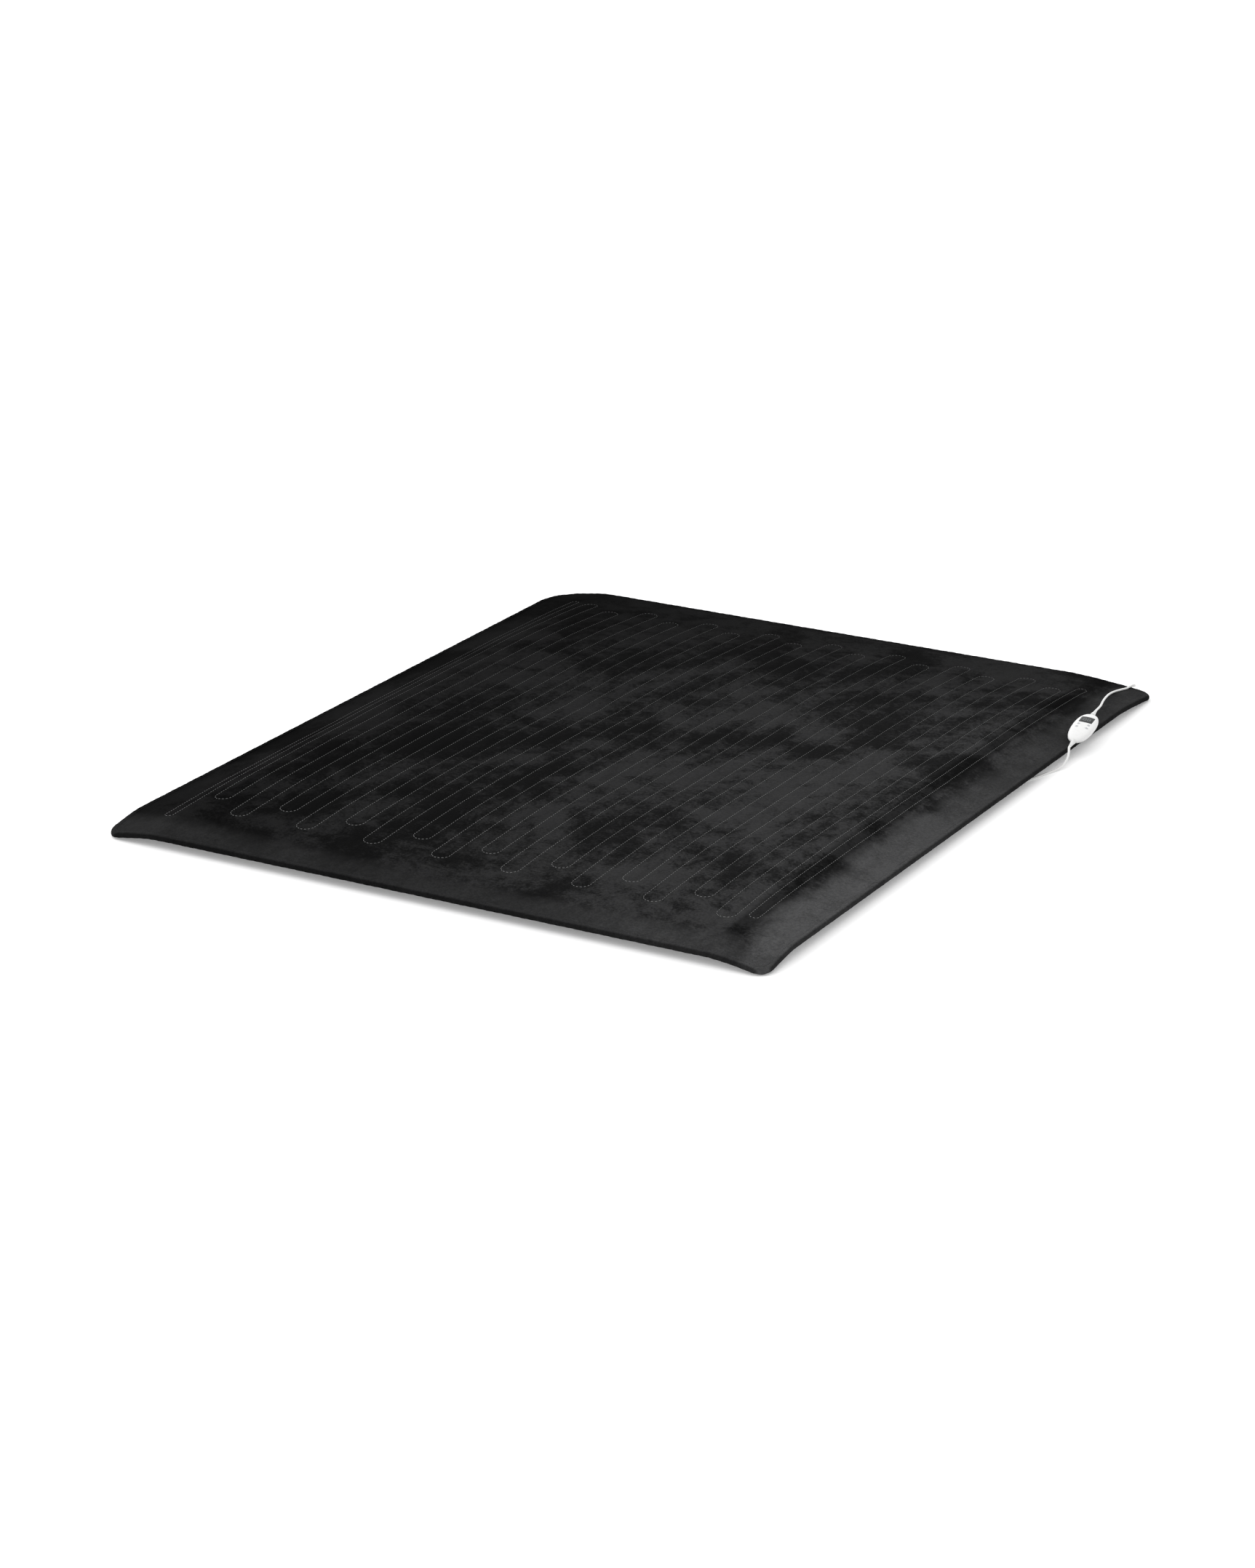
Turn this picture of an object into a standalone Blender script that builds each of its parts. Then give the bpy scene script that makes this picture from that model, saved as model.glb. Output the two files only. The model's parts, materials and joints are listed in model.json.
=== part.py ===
"""A heated plush blanket with a hand controller, a low-voltage lead and a mains cord.

The frame: +Z up, the blanket's long side and its heating runs along Y, its short side along X, and the
origin under the middle of the blanket, on the surface that its corners rest on. Sizes are in metres.
"""

import math

import bmesh
import bpy
from mathutils import Euler, Matrix, Vector
from mathutils.bvhtree import BVHTree

# Blanket: overall size and the way it lies
WIDTH = 1.300
LENGTH = 1.600
EDGE_LIFT = 0.0135  # from the floor to the hem, half way along a side
CROWN = 0.027  # from the hem's height to the middle's
CROWN_SIDE = 0.150  # how far in from a long side the rise ends
CROWN_END = 0.600
CROWN_SWELL = 2.5  # how much of the rise towards the middle comes close to a short side
CORNER_RADIUS = 0.030
CORNER_REACH = {(-1, -1): 0.105, (1, -1): 0.105, (1, 1): 0.170, (-1, 1): 0.105}
CORNER_DROP = 1.12  # of EDGE_LIFT, so that the tip of each corner lies on the floor
CORNER_EASE = 1.4
GRID_X = 5  # lattice steps from the middle to the hem, across
GRID_Y = 6  # and along

# Blanket: layers, bottom to top
GAP = 0.0003  # between pieces that touch
COVER = 0.0020
LINER = 0.0006
WIRE = 0.0018
WIRE_ROOM = 0.0005  # above and below the wire
WIRE_BEND = 0.0200
BINDING = 0.0009
BINDING_WIDTH = 0.010

# Heating runs
RUNS = 17
RUN_PITCH = 0.0688
RUN_OFFSET = -0.0125  # how far the whole serpentine lies towards -X
RUN_END_FROM_HEM = 0.148  # the straight part of a run ends this far from the short side
CUTOFF_LENGTH = 0.016
CUTOFF_RADIUS = 0.0011

# The controller's place: its middle, from the blanket's right-hand back corner
CONTROLLER_FROM_CORNER = (-0.0070, -0.3260)
CONTROLLER_SEAT = 0.0031  # from the hem's top to the controller's lowest face
CONTROLLER_YAW = math.radians(7.3)
CONTROLLER_PITCH = math.radians(5.0)
CONTROLLER_ROLL = math.radians(5.9)

# Controller
CASE_HALF_LENGTH = 0.0620
CASE_HALF_WIDTH = 0.0215
CASE_TOP = 0.0085  # from the parting line to the top
CASE_BOTTOM = 0.0080
CASE_WALL = 0.0016
CASE_TAPER = 0.05  # how much wider it is at the lead's end
OUTLINE_POWER = 2.3
DOME_POWER = 3.0  # the fall from the crest to the outline
CREST_POWER = 2.2
DOME_SIDES = 32
DOME_RINGS = 7
WINDOW_MIDDLE = 0.0235
WINDOW_LENGTH = 0.0270
WINDOW_WIDTH = 0.0250
LENS_THICKNESS = 0.0012
LENS_DROP = 0.0002
PANEL_LENGTH = 0.0245
PANEL_WIDTH = 0.0225
PANEL_THICKNESS = 0.0042
BOARD_TOP = -0.0004
BOARD_THICKNESS = 0.0016
BOARD_HALF_LENGTH = 0.0390
BOARD_HALF_WIDTH = CASE_HALF_WIDTH - 0.0080
BUTTON_RADIUS = 0.0026
BUTTON_PROUD = 0.0009
BUTTON_TRAVEL = 0.0006
BUTTON_FLANGE = 0.0009
BUTTON_EDGE = 0.0006
BUTTON_CROWN = 0.0001
FLANGE_THICKNESS = 0.0012
PLUNGER_CLEARANCE = 0.0002
KEY_HOLE_FOOT = 0.0010
BUTTON_X = 0.0095
BUTTON_Y = (0.0010, -0.0120)
SWITCH_HEIGHT = 0.0022
PLUNGER_RADIUS = 0.0009
SWITCH_WIDTH = 0.0040
PLUNGER_HEIGHT = 0.0007
POST_X = 0.0090
POST_Y = 0.0465
POST_RADIUS = 0.0024
SCREW_RADIUS = 0.0010
SCREW_SEAT = 0.0010
SEAT_DEPTH = 0.0004
BOSS_WALL = 0.0009
CUTTER_EXTRA = 0.0040  # how far a cutter stands out of the case
SCREW_HEAD = 0.0019
SCREW_HEAD_HEIGHT = 0.0011
SCREW_REACH = 0.0040
RELIEF_NECK = 0.0032
RELIEF_FLANGE = 0.0040
RELIEF_FLANGE_DEPTH = 0.0015
RELIEF_TIP_WALL = 0.0006
RELIEF_SHOULDER = (0.0008, 0.0033)  # how much narrower, and how far from the collar
RELIEF_INSIDE = 0.0130  # from the case's end to the flange
RELIEF_BASE = 0.0047
RELIEF_OUTSIDE = 0.0007  # from the case's end to the collar
RELIEF_LENGTH = 0.0200

# Both cords
STRAIGHT = 0.0030  # straight out of a strain relief
SPACING = 2.4  # of a cord's thickness, from one point of its route to the next

# Lead from the controller to the blanket, and its connector under the back hem
LEAD = 0.0040
LEAD_ON_TOP = [
    (-0.0255, -0.2020, 0.0126), (-0.0345, -0.1680, 0.0098), (-0.0430, -0.1340, 0.0064), (-0.0500, -0.1000, 0.0036),
    (-0.0535, -0.0680, 0.0012), (-0.0520, -0.0400, 0.0), (-0.0490, -0.0180, 0.0),
]  # from the corner, and clear of the blanket
LEAD_BEHIND = [(-0.0460, 0.0040, 0.0170), (-0.0465, 0.0150, 0.0128), (-0.0520, 0.0230, 0.0080),
               (-0.0615, 0.0255, 0.0045), (-0.0710, 0.0210, 0.0028), (-0.0775, 0.0120, 0.0024),
               (-0.0800, 0.0000, 0.0025), (-0.0810, -0.0090, 0.0034)]
CONNECTOR_FROM_CORNER = (-0.0810, -0.0160)
CONNECTOR_HEIGHT = 0.0044
CONNECTOR_WIDTH = 0.0130
CONNECTOR_DEPTH = 0.0062
LEAD_PLUG_LENGTH = 0.0220
SOCKET_LENGTH = 0.0300
PORT_RADIUS = 0.0040
PORT_CLEARANCE = 0.0006
PORT_PLACE = 0.75  # share of the socket's length from its front to the port
PORT_MARGIN = 0.0002  # the wires end this far from the port
CONNECTOR_EDGE = 0.0012

# Mains cord, coil and plug, from the same corner
MAINS = 0.0044
MAINS_ROUTE = [(0.0062, -0.4185, 0.0262), (0.0102, -0.4290, 0.0205), (0.0122, -0.4420, 0.0130),
               (0.0100, -0.4580, 0.0062), (0.0050, -0.4760, 0.0030), (-0.0020, -0.4980, 0.0024),
               (-0.0105, -0.5260, 0.0024), (-0.0220, -0.5510, 0.0024), (-0.0400, -0.5710, 0.0024),
               (-0.0620, -0.5860, 0.0027), (-0.0810, -0.6010, 0.0032)]
COIL_FROM_CORNER = (-0.1200, -0.6350)
COIL_RADIUS = 0.0250  # at the middle of its turns
COIL_ACROSS = 3  # turns side by side
COIL_LAYERS = 4
COIL_BASE = 0.0013  # room for the tie under the lowest turns
COIL_APPROACH = 0.0060
TAIL_STRAIGHT = 0.0050
TAIL_END = (-0.0120, -0.0005)
TIE = 0.0008
TIE_WIDTH = 0.0080
TAIL_ROUTE = [(-0.0003, -0.0260, 0.0148), (-0.0030, -0.0420, 0.0128), (-0.0110, -0.0570, 0.0104),
              (-0.0240, -0.0690, 0.0088), (-0.0400, -0.0745, 0.0078)]
PLUG_LENGTH = 0.0360
PLUG_WIDTH = 0.0260
PLUG_HEIGHT = 0.0140
PLUG_CENTRE = 0.0072
PLUG_EDGE = 0.0035
PLUG_RELIEF_RADIUS = 0.0050
PLUG_RELIEF_WALL = 0.0005
PLUG_RELIEF_LENGTH = 0.0220
PIN_RADIUS = 0.0020
PIN_LENGTH = 0.0190
PIN_SPACING = 0.0186

STACK = 2 * COVER + 2 * LINER + WIRE + 2 * WIRE_ROOM + 2 * GAP
HALF_X = WIDTH / 2 - GAP - BINDING
HALF_Y = LENGTH / 2 - GAP - BINDING
HEM_TOP = EDGE_LIFT + 2 * (BINDING + GAP) + STACK
WIRE_CENTRE = COVER + GAP + LINER + WIRE_ROOM + WIRE / 2
CASE_POSTS = [(sx * POST_X, sy * POST_Y) for sx in (-1, 1) for sy in (-1, 1)]
BUTTONS = {
    "heat_up_button": (-BUTTON_X, BUTTON_Y[0]),
    "heat_down_button": (-BUTTON_X, BUTTON_Y[1]),
    "timer_up_button": (BUTTON_X, BUTTON_Y[0]),
    "timer_down_button": (BUTTON_X, BUTTON_Y[1]),
}


# ---------------------------------------------------------------- scene, materials and small helpers


def clear_scene():
    for obj in list(bpy.data.objects):
        bpy.data.objects.remove(obj, do_unlink=True)


def new_collection(name):
    collection = bpy.data.collections.new(name)
    bpy.context.scene.collection.children.link(collection)
    return collection


def material(name, colour, roughness, metallic=0.0):
    made = bpy.data.materials.new(name)
    made.use_nodes = True
    shader = made.node_tree.nodes["Principled BSDF"]
    shader.inputs["Base Color"].default_value = (*colour, 1.0)
    shader.inputs["Roughness"].default_value = roughness
    shader.inputs["Metallic"].default_value = metallic
    made.diffuse_color = (*colour, 1.0)
    return made


clear_scene()
PARTS = new_collection("heated_blanket")
CUTTERS = new_collection("cutters")
CUTTERS.hide_render = True
PLUSH = material("plush", (0.018, 0.018, 0.020), 0.95)
HEM = material("hem", (0.010, 0.010, 0.011), 0.90)
FLEECE = material("liner", (0.300, 0.300, 0.310), 0.95)
WIRE_SKIN = material("wire_skin", (0.600, 0.090, 0.070), 0.55)
CERAMIC = material("ceramic", (0.750, 0.740, 0.700), 0.45)
WHITE = material("white_plastic", (0.830, 0.830, 0.820), 0.30)
CORD_SKIN = material("cord_skin", (0.800, 0.800, 0.790), 0.42)
KEYS = material("key_plastic", (0.620, 0.630, 0.650), 0.40)
SMOKE = material("smoked_lens", (0.020, 0.022, 0.026), 0.08)
GLASS = material("display_glass", (0.060, 0.075, 0.080), 0.20)
BOARD = material("board", (0.020, 0.160, 0.060), 0.50)
BLACK = material("black_plastic", (0.020, 0.020, 0.020), 0.50)
METAL = material("steel", (0.560, 0.560, 0.570), 0.32, 1.0)
BRASS = material("brass", (0.700, 0.560, 0.300), 0.30, 1.0)


def add_mesh(name, bm, skin, collection=PARTS, parent=None):
    """An object made from bm, with its faces turned out."""
    bmesh.ops.recalc_face_normals(bm, faces=bm.faces)
    mesh = bpy.data.meshes.new(name)
    bm.to_mesh(mesh)
    bm.free()
    obj = bpy.data.objects.new(name, mesh)
    collection.objects.link(obj)
    if skin:
        mesh.materials.append(skin)
    obj.parent = parent
    return obj


def add_cutter(name, bm, parent=None):
    obj = add_mesh(name, bm, None, CUTTERS, parent)
    obj.hide_render = True
    obj.display_type = "WIRE"
    return obj


def boolean(obj, other, operation="DIFFERENCE"):
    modifier = obj.modifiers.new(other.name, "BOOLEAN")
    modifier.operation = operation
    modifier.solver = "EXACT"
    modifier.object = other


def smooth(obj, degrees=35):
    obj.data.shade_smooth()
    obj.data.set_sharp_from_angle(angle=math.radians(degrees))


def box(centre, size):
    bm = bmesh.new()
    bmesh.ops.create_cube(bm, size=1.0)
    bmesh.ops.scale(bm, vec=size, verts=bm.verts)
    bmesh.ops.translate(bm, vec=centre, verts=bm.verts)
    return bm


def cylinder(radius, low, high, sides=20, place=(0.0, 0.0), turn=None):
    """A cylinder along Z from low to high, or turned by a matrix."""
    bm = bmesh.new()
    bmesh.ops.create_cone(bm, cap_ends=True, segments=sides, radius1=radius, radius2=radius, depth=high - low)
    bmesh.ops.translate(bm, vec=(place[0], place[1], (low + high) / 2), verts=bm.verts)
    if turn:
        bmesh.ops.transform(bm, matrix=turn, verts=bm.verts)
    return bm


def bevel(obj, width, segments=2):
    modifier = obj.modifiers.new("rounding", "BEVEL")
    modifier.width = width
    modifier.segments = segments
    modifier.limit_method = "ANGLE"
    modifier.angle_limit = math.radians(40)


def turned(name, profile, skin, steps=24, parent=None, place=(0, 0, 0), rotation=(0, 0, 0)):
    """A solid turned about Z from (radius, height) points that run from the top down."""
    bm = bmesh.new()
    points = [bm.verts.new((radius, 0.0, height)) for radius, height in profile]
    for first, second in zip(points, points[1:]):
        bm.edges.new((first, second))
    mesh = bpy.data.meshes.new(name)
    bm.to_mesh(mesh)
    bm.free()
    obj = bpy.data.objects.new(name, mesh)
    PARTS.objects.link(obj)
    mesh.materials.append(skin)
    screw = obj.modifiers.new("turn", "SCREW")
    screw.steps = screw.render_steps = steps
    screw.use_merge_vertices = True
    screw.merge_threshold = 0.00001
    obj.parent = parent
    obj.location = place
    obj.rotation_euler = rotation
    return obj


def smooth_route(points, spacing):
    """Points about spacing apart on a Catmull-Rom curve through the given ones."""
    points = [Vector(p) for p in points]
    ends = [2 * points[0] - points[1], *points, 2 * points[-1] - points[-2]]
    fine = []
    for before, start, stop, after in zip(ends, ends[1:], ends[2:], ends[3:]):
        for step in range(24):
            t = step / 24
            fine.append(
                0.5
                * (
                    2 * start
                    + (stop - before) * t
                    + (2 * before - 5 * start + 4 * stop - after) * t**2
                    + (3 * start - before - 3 * stop + after) * t**3
                )
            )
    fine.append(points[-1])
    travelled = [0.0]
    for first, second in zip(fine, fine[1:]):
        travelled.append(travelled[-1] + (second - first).length)
    count = max(2, round(travelled[-1] / spacing))
    route, at = [], 0
    for step in range(count + 1):
        wanted = travelled[-1] * step / count
        while at < len(fine) - 2 and travelled[at + 1] < wanted:
            at += 1
        share = (wanted - travelled[at]) / max(travelled[at + 1] - travelled[at], 1e-9)
        route.append(fine[at].lerp(fine[at + 1], share))
    return route


def tube(name, points, diameter, skin, resolution=2):
    curve = bpy.data.curves.new(name, "CURVE")
    curve.dimensions = "3D"
    curve.bevel_depth = diameter / 2
    curve.bevel_resolution = resolution
    curve.use_fill_caps = True
    spline = curve.splines.new("POLY")
    spline.points.add(len(points) - 1)
    for spot, point in zip(spline.points, points):
        spot.co = (*point, 1.0)
    curve.materials.append(skin)
    obj = bpy.data.objects.new(name, curve)
    PARTS.objects.link(obj)
    return obj


# ---------------------------------------------------------------- how the blanket lies


def ease(share):
    share = min(1.0, max(0.0, share))
    return share * share * (3 - 2 * share)


def lie(x, y):
    """Height of the bottom cover's underside: a crown that falls to the hem, and corners that reach the floor."""
    in_x = HALF_X - abs(x)
    in_y = HALF_Y - abs(y)
    swell = 1 - max(0.0, 1 - in_y / CROWN_END) ** CROWN_SWELL
    rise = CROWN * ease(in_x / CROWN_SIDE) * swell
    reach = CORNER_REACH[(1 if x > 0 else -1, 1 if y > 0 else -1)]
    left = max(0.0, 1 - math.hypot(in_x, in_y) / reach)
    drop = min(EDGE_LIFT, CORNER_DROP * EDGE_LIFT * left**CORNER_EASE)
    return BINDING + GAP + EDGE_LIFT + rise - drop


def lattice(half, steps):
    """Places from one hem to the other: the hem, the binding's inner edge, then steps that widen to the middle."""
    inner = half - BINDING_WIDTH
    spots = [inner * math.sin(math.pi / 2 * step / steps) for step in range(-steps, steps + 1)]
    return [-half, *spots, half]


def round_corner(x, y):
    """Moves a place in the square of a corner onto the matching ring round the corner's centre."""
    centre = Vector((math.copysign(HALF_X - CORNER_RADIUS, x), math.copysign(HALF_Y - CORNER_RADIUS, y)))
    out = Vector((x, y)) - centre
    if out.x * centre.x <= 0 or out.y * centre.y <= 0:
        return x, y
    out *= max(abs(out.x), abs(out.y)) / out.length
    return centre.x + out.x, centre.y + out.y


COLUMNS = lattice(HALF_X, GRID_X)
ROWS = lattice(HALF_Y, GRID_Y)


def spot(column, row):
    x, y = round_corner(COLUMNS[column], ROWS[row])
    return Vector((x, y, lie(x, y)))


def split_from_middle(bm):
    """Cuts every four-sided face in two along its diagonal from the blanket's middle outwards."""
    for face in [face for face in bm.faces if len(face.verts) == 4]:
        by_reach = sorted(face.verts, key=lambda vert: (round(abs(vert.co.x) + abs(vert.co.y), 6), vert.co.z))
        bmesh.utils.face_split(face, by_reach[0], by_reach[-1])


def lying_surface():
    """The underside of the blanket as one open surface of triangles."""
    bm = bmesh.new()
    across, along = len(COLUMNS) - 1, len(ROWS) - 1
    bmesh.ops.create_grid(bm, x_segments=across, y_segments=along, size=1.0)
    for vert in bm.verts:
        column = round((vert.co.x + 1) / 2 * across)
        row = round((vert.co.y + 1) / 2 * along)
        vert.co = spot(column, row)
    split_from_middle(bm)
    return bm


SURFACE = lying_surface()
SURFACE_TREE = BVHTree.FromBMesh(SURFACE)
SURFACE_EDGES = [(edge.verts[0].co.copy(), edge.verts[1].co.copy()) for edge in SURFACE.edges]


def underside(x, y):
    """Height of the faceted underside at a place, or at the hem beyond it."""
    x = max(-HALF_X + 1e-6, min(HALF_X - 1e-6, x))
    y = max(-HALF_Y + 1e-6, min(HALF_Y - 1e-6, y))
    hit = SURFACE_TREE.ray_cast(Vector((x, y, 1.0)), Vector((0, 0, -1)))[0]
    return hit.z if hit else lie(x, y)


def layer(name, base, thickness, skin):
    """A sheet of constant thickness on the lying surface, base above its underside."""
    bm = SURFACE.copy()
    bmesh.ops.translate(bm, vec=(0, 0, base), verts=bm.verts)
    raised = bmesh.ops.extrude_face_region(bm, geom=bm.faces[:], use_keep_orig=True)["geom"]
    bmesh.ops.translate(bm, vec=(0, 0, thickness), verts=[v for v in raised if isinstance(v, bmesh.types.BMVert)])
    return add_mesh(name, bm, skin)


def crossings(start, stop):
    """Where a straight stretch in plan passes over the lattice's edges, as (share, height)."""
    found = []
    along = stop - start
    for first, second in SURFACE_EDGES:
        side = second.xy - first.xy
        cross = along.x * side.y - along.y * side.x
        if abs(cross) < 1e-12:
            continue
        gap = first.xy - start
        share = (gap.x * side.y - gap.y * side.x) / cross
        on_edge = (gap.x * along.y - gap.y * along.x) / cross
        if 0.001 < share < 0.999 and 0 <= on_edge <= 1:
            found.append((share, first.z + (second.z - first.z) * on_edge))
    return sorted(found)


def laid(plan, above):
    """A plan route laid on the faceted surface, above its underside, without points that change nothing."""
    route = []
    for start, stop in zip(plan, plan[1:]):
        start, stop = Vector(start), Vector(stop)
        route.append(Vector((*start, underside(*start))))
        route += [Vector((*start.lerp(stop, share), height)) for share, height in crossings(start, stop)]
    route.append(Vector((*plan[-1], underside(*plan[-1]))))
    kept = [route[0]]
    for point, after in zip(route[1:], route[2:]):
        whole = after - kept[-1]
        part = point - kept[-1]
        if part.length < 0.0015:
            continue
        if (part - whole * (part.dot(whole) / whole.length_squared)).length > 0.00004:
            kept.append(point)
    kept.append(route[-1])
    return [point + Vector((0, 0, above)) for point in kept]


# ---------------------------------------------------------------- the blanket


def make_layers():
    heights = {"bottom_cover": 0.0}
    heights["lower_liner"] = COVER + GAP
    heights["upper_liner"] = heights["lower_liner"] + LINER + 2 * WIRE_ROOM + WIRE
    heights["top_cover"] = heights["upper_liner"] + LINER + GAP
    sheets = {}
    for name, base in heights.items():
        is_cover = name.endswith("cover")
        sheets[name] = layer(name, base, COVER if is_cover else LINER, PLUSH if is_cover else FLEECE)
    return sheets


def hem_stations():
    """Pairs of a hem place and the place on the binding's inner edge behind it, once round the blanket."""
    last_x, last_y = len(COLUMNS) - 1, len(ROWS) - 1
    ring = [(column, 0) for column in range(last_x)]
    ring += [(last_x, row) for row in range(last_y)]
    ring += [(column, last_y) for column in range(last_x, 0, -1)]
    ring += [(0, row) for row in range(last_y, 0, -1)]
    for column, row in ring:
        inner = (min(max(column, 1), last_x - 1), min(max(row, 1), last_y - 1))
        yield spot(column, row), spot(*inner)


def make_binding():
    """A folded tape of C section round all four hems."""
    bm = bmesh.new()
    rings = []
    for hem, inner in hem_stations():
        out = Vector((hem.x - inner.x, hem.y - inner.y, 0)).normalized()
        up = Vector((0, 0, 1))
        low, high = -GAP, STACK + GAP
        section = [
            inner + up * (low - BINDING),
            hem + out * (GAP + BINDING) + up * (low - BINDING),
            hem + out * (GAP + BINDING) + up * (high + BINDING),
            inner + up * (high + BINDING),
            inner + up * high,
            hem + out * GAP + up * high,
            hem + out * GAP + up * low,
            inner + up * low,
        ]
        rings.append([bm.verts.new(point) for point in section])
    for ring, following in zip(rings, rings[1:] + rings[:1]):
        for k in range(len(ring)):
            bm.faces.new((ring[k - 1], ring[k], following[k], following[k - 1]))
    bmesh.ops.remove_doubles(bm, verts=bm.verts, dist=0.00002)
    split_from_middle(bm)
    return add_mesh("edge_binding", bm, HEM)


def run_x(run):
    return RUN_OFFSET + (run - (RUNS - 1) / 2) * RUN_PITCH


def half_turn(centre_x, centre_y, radius, up, steps=5):
    """Plan points of a U-turn from the left of its centre to the right, without its two ends."""
    angles = [math.pi * (1 - step / (steps + 1)) for step in range(1, steps + 1)]
    side = 1 if up else -1
    return [(centre_x + radius * math.cos(a), centre_y + side * radius * math.sin(a)) for a in angles]


PORT = (
    HALF_X + CONNECTOR_FROM_CORNER[0],
    HALF_Y + CONNECTOR_FROM_CORNER[1] - LEAD_PLUG_LENGTH - PORT_PLACE * SOCKET_LENGTH,
)


def make_wires():
    """The serpentine, a thermal cut-off at each of its ends, and the two wires back to the connector."""
    end = LENGTH / 2 - RUN_END_FROM_HEM
    plan = []
    for run in range(RUNS):
        down = run % 2 == 0
        plan.append((run_x(run), end if down else -end))
        plan.append((run_x(run), -end if down else end))
        if run < RUNS - 1:
            plan += half_turn((run_x(run) + run_x(run + 1)) / 2, -end if down else end, RUN_PITCH / 2, not down)
    tube("heating_wire", laid(plan, WIRE_CENTRE), WIRE, WIRE_SKIN, 1)

    first, last = run_x(0), run_x(RUNS - 1)
    tail_y = PORT[1]
    past = GAP + CUTOFF_LENGTH + GAP
    reach = PORT_RADIUS + PORT_MARGIN
    short = 0.3 * WIRE_BEND
    supply = [(first, end + past), (first, tail_y - WIRE_BEND), (first + short, tail_y - short),
              (first + WIRE_BEND, tail_y), (PORT[0] - reach, tail_y)]
    tube("supply_wire", laid(supply, WIRE_CENTRE), WIRE, WIRE_SKIN, 1)
    side = PORT[0] + reach + 1.2 * WIRE_BEND
    middle, radius = (last + side) / 2, (side - last) / 2
    back = [(last, -end - past), *half_turn(middle, -end - past, radius, False), (side, -end - past),
            (side, tail_y - WIRE_BEND), (side - short, tail_y - short), (side - WIRE_BEND, tail_y),
            (PORT[0] + reach, tail_y)]
    tube("return_wire", laid(back, WIRE_CENTRE), WIRE, WIRE_SKIN, 1)

    for name, x, y, way in (("thermal_cutoff_left", first, end, 1), ("thermal_cutoff_right", last, -end, -1)):
        low = Vector((x, y + way * GAP, underside(x, y + way * GAP) + WIRE_CENTRE))
        far = y + way * (GAP + CUTOFF_LENGTH)
        high = Vector((x, far, underside(x, far) + WIRE_CENTRE))
        along = (high - low).normalized()
        turn = Matrix.Translation((low + high) / 2) @ along.to_track_quat("Z", "Y").to_matrix().to_4x4()
        half = (high - low).length / 2
        smooth(add_mesh(name, cylinder(CUTOFF_RADIUS, -half, half, 12, turn=turn), CERAMIC))


def make_connector(sheets):
    """The socket under the back hem, with a neck through the bottom cover, and the lead's plug in it."""
    x = HALF_X + CONNECTOR_FROM_CORNER[0]
    front = HALF_Y + CONNECTOR_FROM_CORNER[1]
    middle = front - LEAD_PLUG_LENGTH - GAP - SOCKET_LENGTH / 2
    socket = add_mesh("blanket_socket", box((x, middle, CONNECTOR_HEIGHT), (CONNECTOR_WIDTH, SOCKET_LENGTH,
                                                                            CONNECTOR_DEPTH)), BLACK)
    top = underside(*PORT) + COVER + GAP + LINER + WIRE_ROOM
    neck = add_cutter("socket_neck", cylinder(PORT_RADIUS - PORT_CLEARANCE, CONNECTOR_HEIGHT, top, 16, PORT))
    boolean(socket, neck, "UNION")
    hole = add_cutter("port_hole", cylinder(PORT_RADIUS, 0.0, top + WIRE_ROOM, 16, PORT))
    boolean(sheets["bottom_cover"], hole)
    boolean(sheets["lower_liner"], hole)
    plug = add_mesh("lead_plug", box((x, front - LEAD_PLUG_LENGTH / 2, CONNECTOR_HEIGHT),
                                     (CONNECTOR_WIDTH, LEAD_PLUG_LENGTH - GAP, CONNECTOR_DEPTH)), WHITE)
    bevel(plug, CONNECTOR_EDGE)


# ---------------------------------------------------------------- the controller


def outline_share(x, y):
    """0 on the controller's axis, 1 on its outline."""
    width = CASE_HALF_WIDTH * (1 + CASE_TAPER * y / CASE_HALF_LENGTH)
    return (abs(x / width) ** OUTLINE_POWER + abs(y / CASE_HALF_LENGTH) ** OUTLINE_POWER) ** (1 / OUTLINE_POWER)


def dome(x, y, height):
    """Height of a case half's outer face over the parting line."""
    return height * max(0.0, 1 - outline_share(x, y) ** DOME_POWER) ** (1 / CREST_POWER)


def signed_power(value, power):
    return math.copysign(abs(value) ** power, value)


def dome_surface(bm, inset, height, side):
    """Adds a dome over the controller's outline less an inset, and returns the ring of points on its rim."""
    rings = []
    for step in range(DOME_RINGS):
        lift = math.pi / 2 * step / DOME_RINGS
        share = math.cos(lift) ** (2 / DOME_POWER)
        up = (height - inset) * math.sin(lift) ** (2 / CREST_POWER) + GAP / 2
        ring = []
        for turn in range(DOME_SIDES):
            angle = 2 * math.pi * turn / DOME_SIDES
            along = share * signed_power(math.sin(angle), 2 / OUTLINE_POWER)
            across = share * signed_power(math.cos(angle), 2 / OUTLINE_POWER) * (1 + CASE_TAPER * along)
            place = (across * (CASE_HALF_WIDTH - inset), along * (CASE_HALF_LENGTH - inset), side * up)
            ring.append(bm.verts.new(place))
        rings.append(ring)
    crest = bm.verts.new((0.0, 0.0, side * (height - inset + GAP / 2)))
    for ring, following in zip(rings, rings[1:]):
        for k in range(DOME_SIDES):
            bm.faces.new((ring[k - 1], ring[k], following[k], following[k - 1]))
    for k in range(DOME_SIDES):
        bm.faces.new((rings[-1][k - 1], rings[-1][k], crest))
    return rings[0]


def case_half(name, height, side, parent):
    """Half a case: an outer and an inner dome joined at the parting line."""
    bm = bmesh.new()
    outer = dome_surface(bm, 0.0, height, side)
    inner = dome_surface(bm, CASE_WALL, height, side)
    for k in range(DOME_SIDES):
        bm.faces.new((outer[k - 1], outer[k], inner[k], inner[k - 1]))
    return add_mesh(name, bm, WHITE, parent=parent)


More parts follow.
